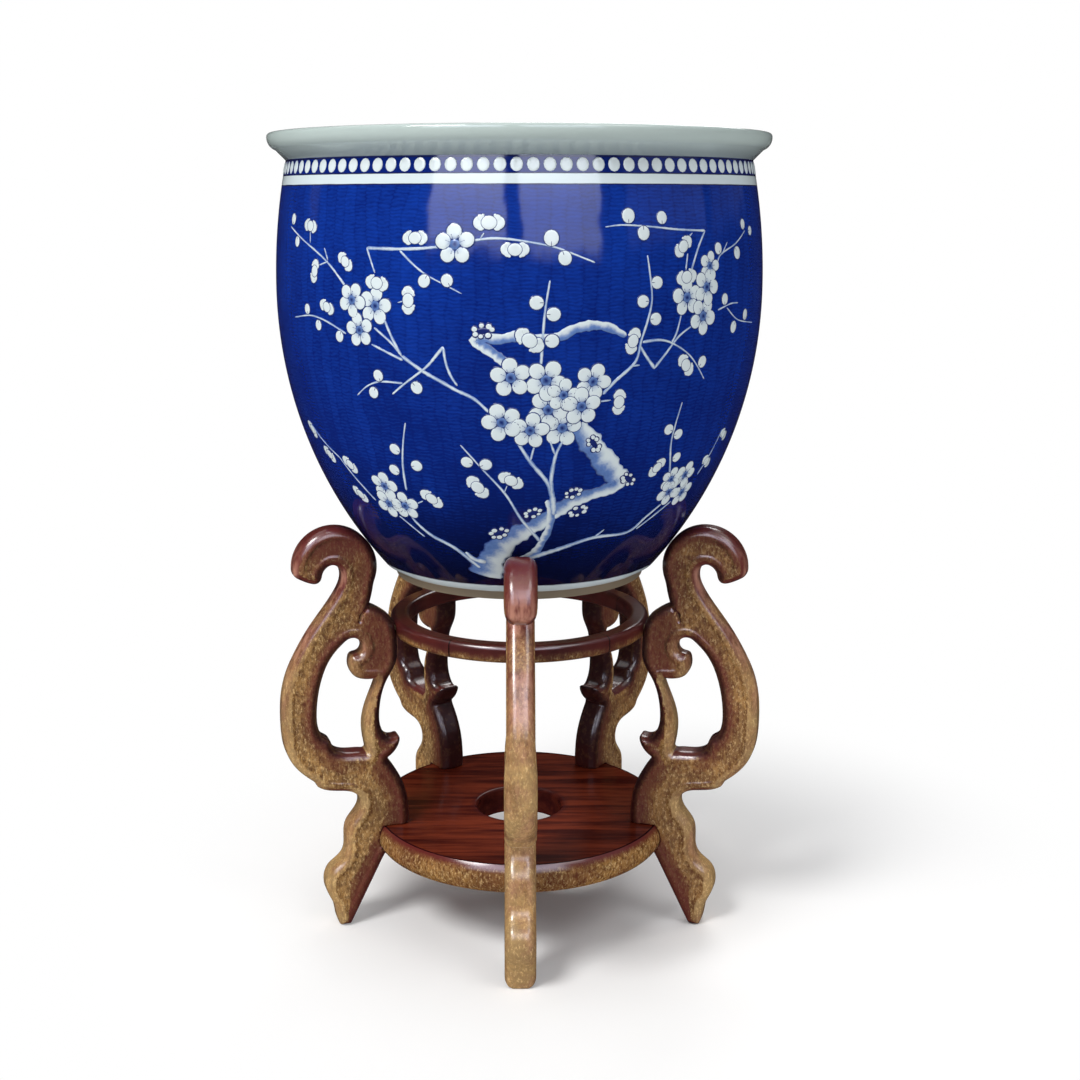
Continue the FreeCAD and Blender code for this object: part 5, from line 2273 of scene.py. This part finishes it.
@dataclass
class Studio:
    """A white floor, soft lamps, and a surround that only reflections see."""

    ambient: float = 0.43
    floor_colour: Colour = (0.955, 0.955, 0.96)
    floor_radius: float = 9.0
    shade_shift: Pair = (0.10, 0.03)
    shade_radius: float = 0.16
    white_radius: float = 0.56
    surround_radius: float = 3.0
    surround_height: float = 3.4
    horizon: float = 0.86
    overhead: Pair = (1.3, 2.2)
    dark_room: Colour = (0.016, 0.011, 0.012)
    sky_colour: Colour = (0.80, 0.84, 1.0)
    pane_sway: Mottle = Mottle(1.8, 4.0, 0.7, 9.0)
    pane_blur: float = 1.0
    panes: tuple[Pane, ...] = (
        Pane(-108.0, 4.0, 0.12), Pane(-24.0, 17.0, 1.0), Pane(18.0, 18.0, 0.9),
        Pane(70.0, 22.0, 0.17), Pane(112.0, 16.0, 0.08),
    )
    lamps: tuple[Softbox, ...] = (
        Softbox("key", (-1.7, -1.8, 3.0), (0.0, 0.0, 0.35), 1.4, 92.0, (1.0, 0.99, 0.97)),
        Softbox("fill", (1.7, -1.5, 2.9), (0.0, 0.0, 0.4), 1.6, 20.0),
        Softbox("back", (0.6, 2.4, 2.4), (0.0, 0.0, 0.4), 1.6, 26.0),
    )

    def build(self) -> None:
        """Makes the floor, the surround, the lamps and the world."""
        self.build_world()
        self.build_floor()
        self.build_surround()
        for lamp in self.lamps:
            lamp.build()
        bpy.context.scene.view_settings.view_transform = "Standard"

    def build_world(self) -> None:
        """Soft light from all round, seen as white."""
        world = bpy.data.worlds.new("studio")
        world.use_nodes = True
        bpy.context.scene.world = world
        graph = Graph(world.node_tree)
        background = world.node_tree.nodes["Background"]
        background.inputs["Color"].default_value = (1.0, 1.0, 1.0, 1.0)
        rays = graph.add("ShaderNodeLightPath").outputs
        seen = graph.most(rays["Is Camera Ray"], rays["Is Glossy Ray"], rays["Is Transmission Ray"])
        dim = graph.times(graph.minus(1.0, seen), 1.0 - self.ambient)
        graph.feed(background.inputs["Strength"], graph.minus(1.0, dim))

    def build_floor(self) -> None:
        """A round white floor that fades to the white of the background."""
        material, graph, shader = new_material("studio_floor")
        shader.inputs["Base Color"].default_value = (*self.floor_colour, 1.0)
        shader.inputs["Roughness"].default_value = 1.0
        shader.inputs["Specular IOR Level"].default_value = 0.0
        x, y, _ = graph.split(graph.place())
        away = graph.from_axis(graph.minus(x, self.shade_shift[0]), graph.minus(y, self.shade_shift[1]))
        rays = graph.add("ShaderNodeLightPath").outputs
        glow = graph.add("ShaderNodeEmission")
        mixed = graph.add("ShaderNodeMixShader")
        seen = graph.most(rays["Is Camera Ray"], rays["Is Transmission Ray"])
        veil = graph.rise(away, self.shade_radius, self.white_radius)
        graph.feed(mixed.inputs[0], graph.times(veil, seen))
        graph.feed(mixed.inputs[1], shader.outputs[0])
        graph.feed(mixed.inputs[2], glow.outputs[0])
        output = material.node_tree.nodes["Material Output"]
        graph.feed(output.inputs["Surface"], mixed.outputs[0])
        points, faces = ring_of(0.0, self.floor_radius, 0.0, 96)
        floor = new_object("studio_floor", points, faces, material, smooth=False)
        floor.visible_glossy = False

    def build_surround(self) -> None:
        """A round wall of sky panes over dark ground, for reflections only."""
        material, graph, shader = new_material("studio_surround")
        material.node_tree.nodes.remove(shader)
        place = graph.place()
        x, y, z = graph.split(place)
        ragged = graph.sway(place, self.pane_sway)
        degrees = graph.plus(graph.times(graph.angle(x, y), 180 / math.pi), ragged)
        panes: object = 0.0
        for pane in self.panes:
            edge = (pane.half + self.pane_blur, pane.half - self.pane_blur)
            shape = graph.rise(graph.gap(degrees, pane.middle), *edge)
            panes = graph.most(panes, graph.times(shape, pane.strength))
        level = graph.plus(z, graph.times(ragged, 0.06))
        sky = graph.times(panes, graph.rise(level, self.horizon, self.horizon + 0.25))
        glow = graph.add("ShaderNodeEmission")
        graph.feed(glow.inputs["Color"], graph.mix(sky, self.dark_room, self.sky_colour))
        overhead = graph.times(graph.rise(z, *self.overhead), 3.0)
        graph.feed(glow.inputs["Strength"], graph.plus(1.0, graph.times(sky, graph.plus(overhead, 2.3))))
        output = material.node_tree.nodes["Material Output"]
        graph.feed(output.inputs["Surface"], glow.outputs[0])
        points, faces = ring_of(self.surround_radius, self.surround_radius, self.surround_height, 96)
        wall = new_object("studio_surround", points, faces, material)
        points, faces = ring_of(0.0, self.surround_radius * 1.01, -0.01, 96)
        ground = new_object("studio_ground", points, faces, material)
        for piece in (wall, ground):
            for ray in ("camera", "diffuse", "shadow", "transmission"):
                setattr(piece, f"visible_{ray}", False)


def ring_of(inner: float, outer: float, height: float, segments: int) -> tuple[list, list]:
    """A flat round sheet, or an upright round wall where both radii are the same.

    Args:
        inner: the first radius, 0 for a whole disc.
        outer: the second radius.
        height: the sheet's height, or the wall's.
        segments: how many sides it has.

    Returns:
        Its points and faces.
    """
    angles = [2 * math.pi * step / segments for step in range(segments)]
    rim = [(outer * math.cos(angle), outer * math.sin(angle), height) for angle in angles]
    if inner == 0:
        return rim, [tuple(range(segments))]
    base = [(inner * math.cos(angle), inner * math.sin(angle), -0.01) for angle in angles]
    sides = []
    for step in range(segments):
        after = (step + 1) % segments
        sides.append((step, after, segments + after, segments + step))
    return rim + base, sides


def main() -> None:
    """Builds the jardiniere, its stand and the studio round them."""
    logging.basicConfig(level=logging.INFO, format="%(relativeCreated)d ms %(name)s: %(message)s")
    for leftover in list(bpy.data.objects):
        bpy.data.objects.remove(leftover)
    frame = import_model()
    LOG.info("frame loaded")
    nodes = frame["nodes"]
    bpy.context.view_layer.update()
    view = Viewpoint()
    wall = BowlWall(foot=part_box("jardiniere")[0][2])
    PrunusBowl(wall, view).build(nodes)
    Stand(ScrollLegs(), LacquerFinish()).build(nodes)
    Studio().build()
    view.build()


if __name__ == "__main__":
    main()
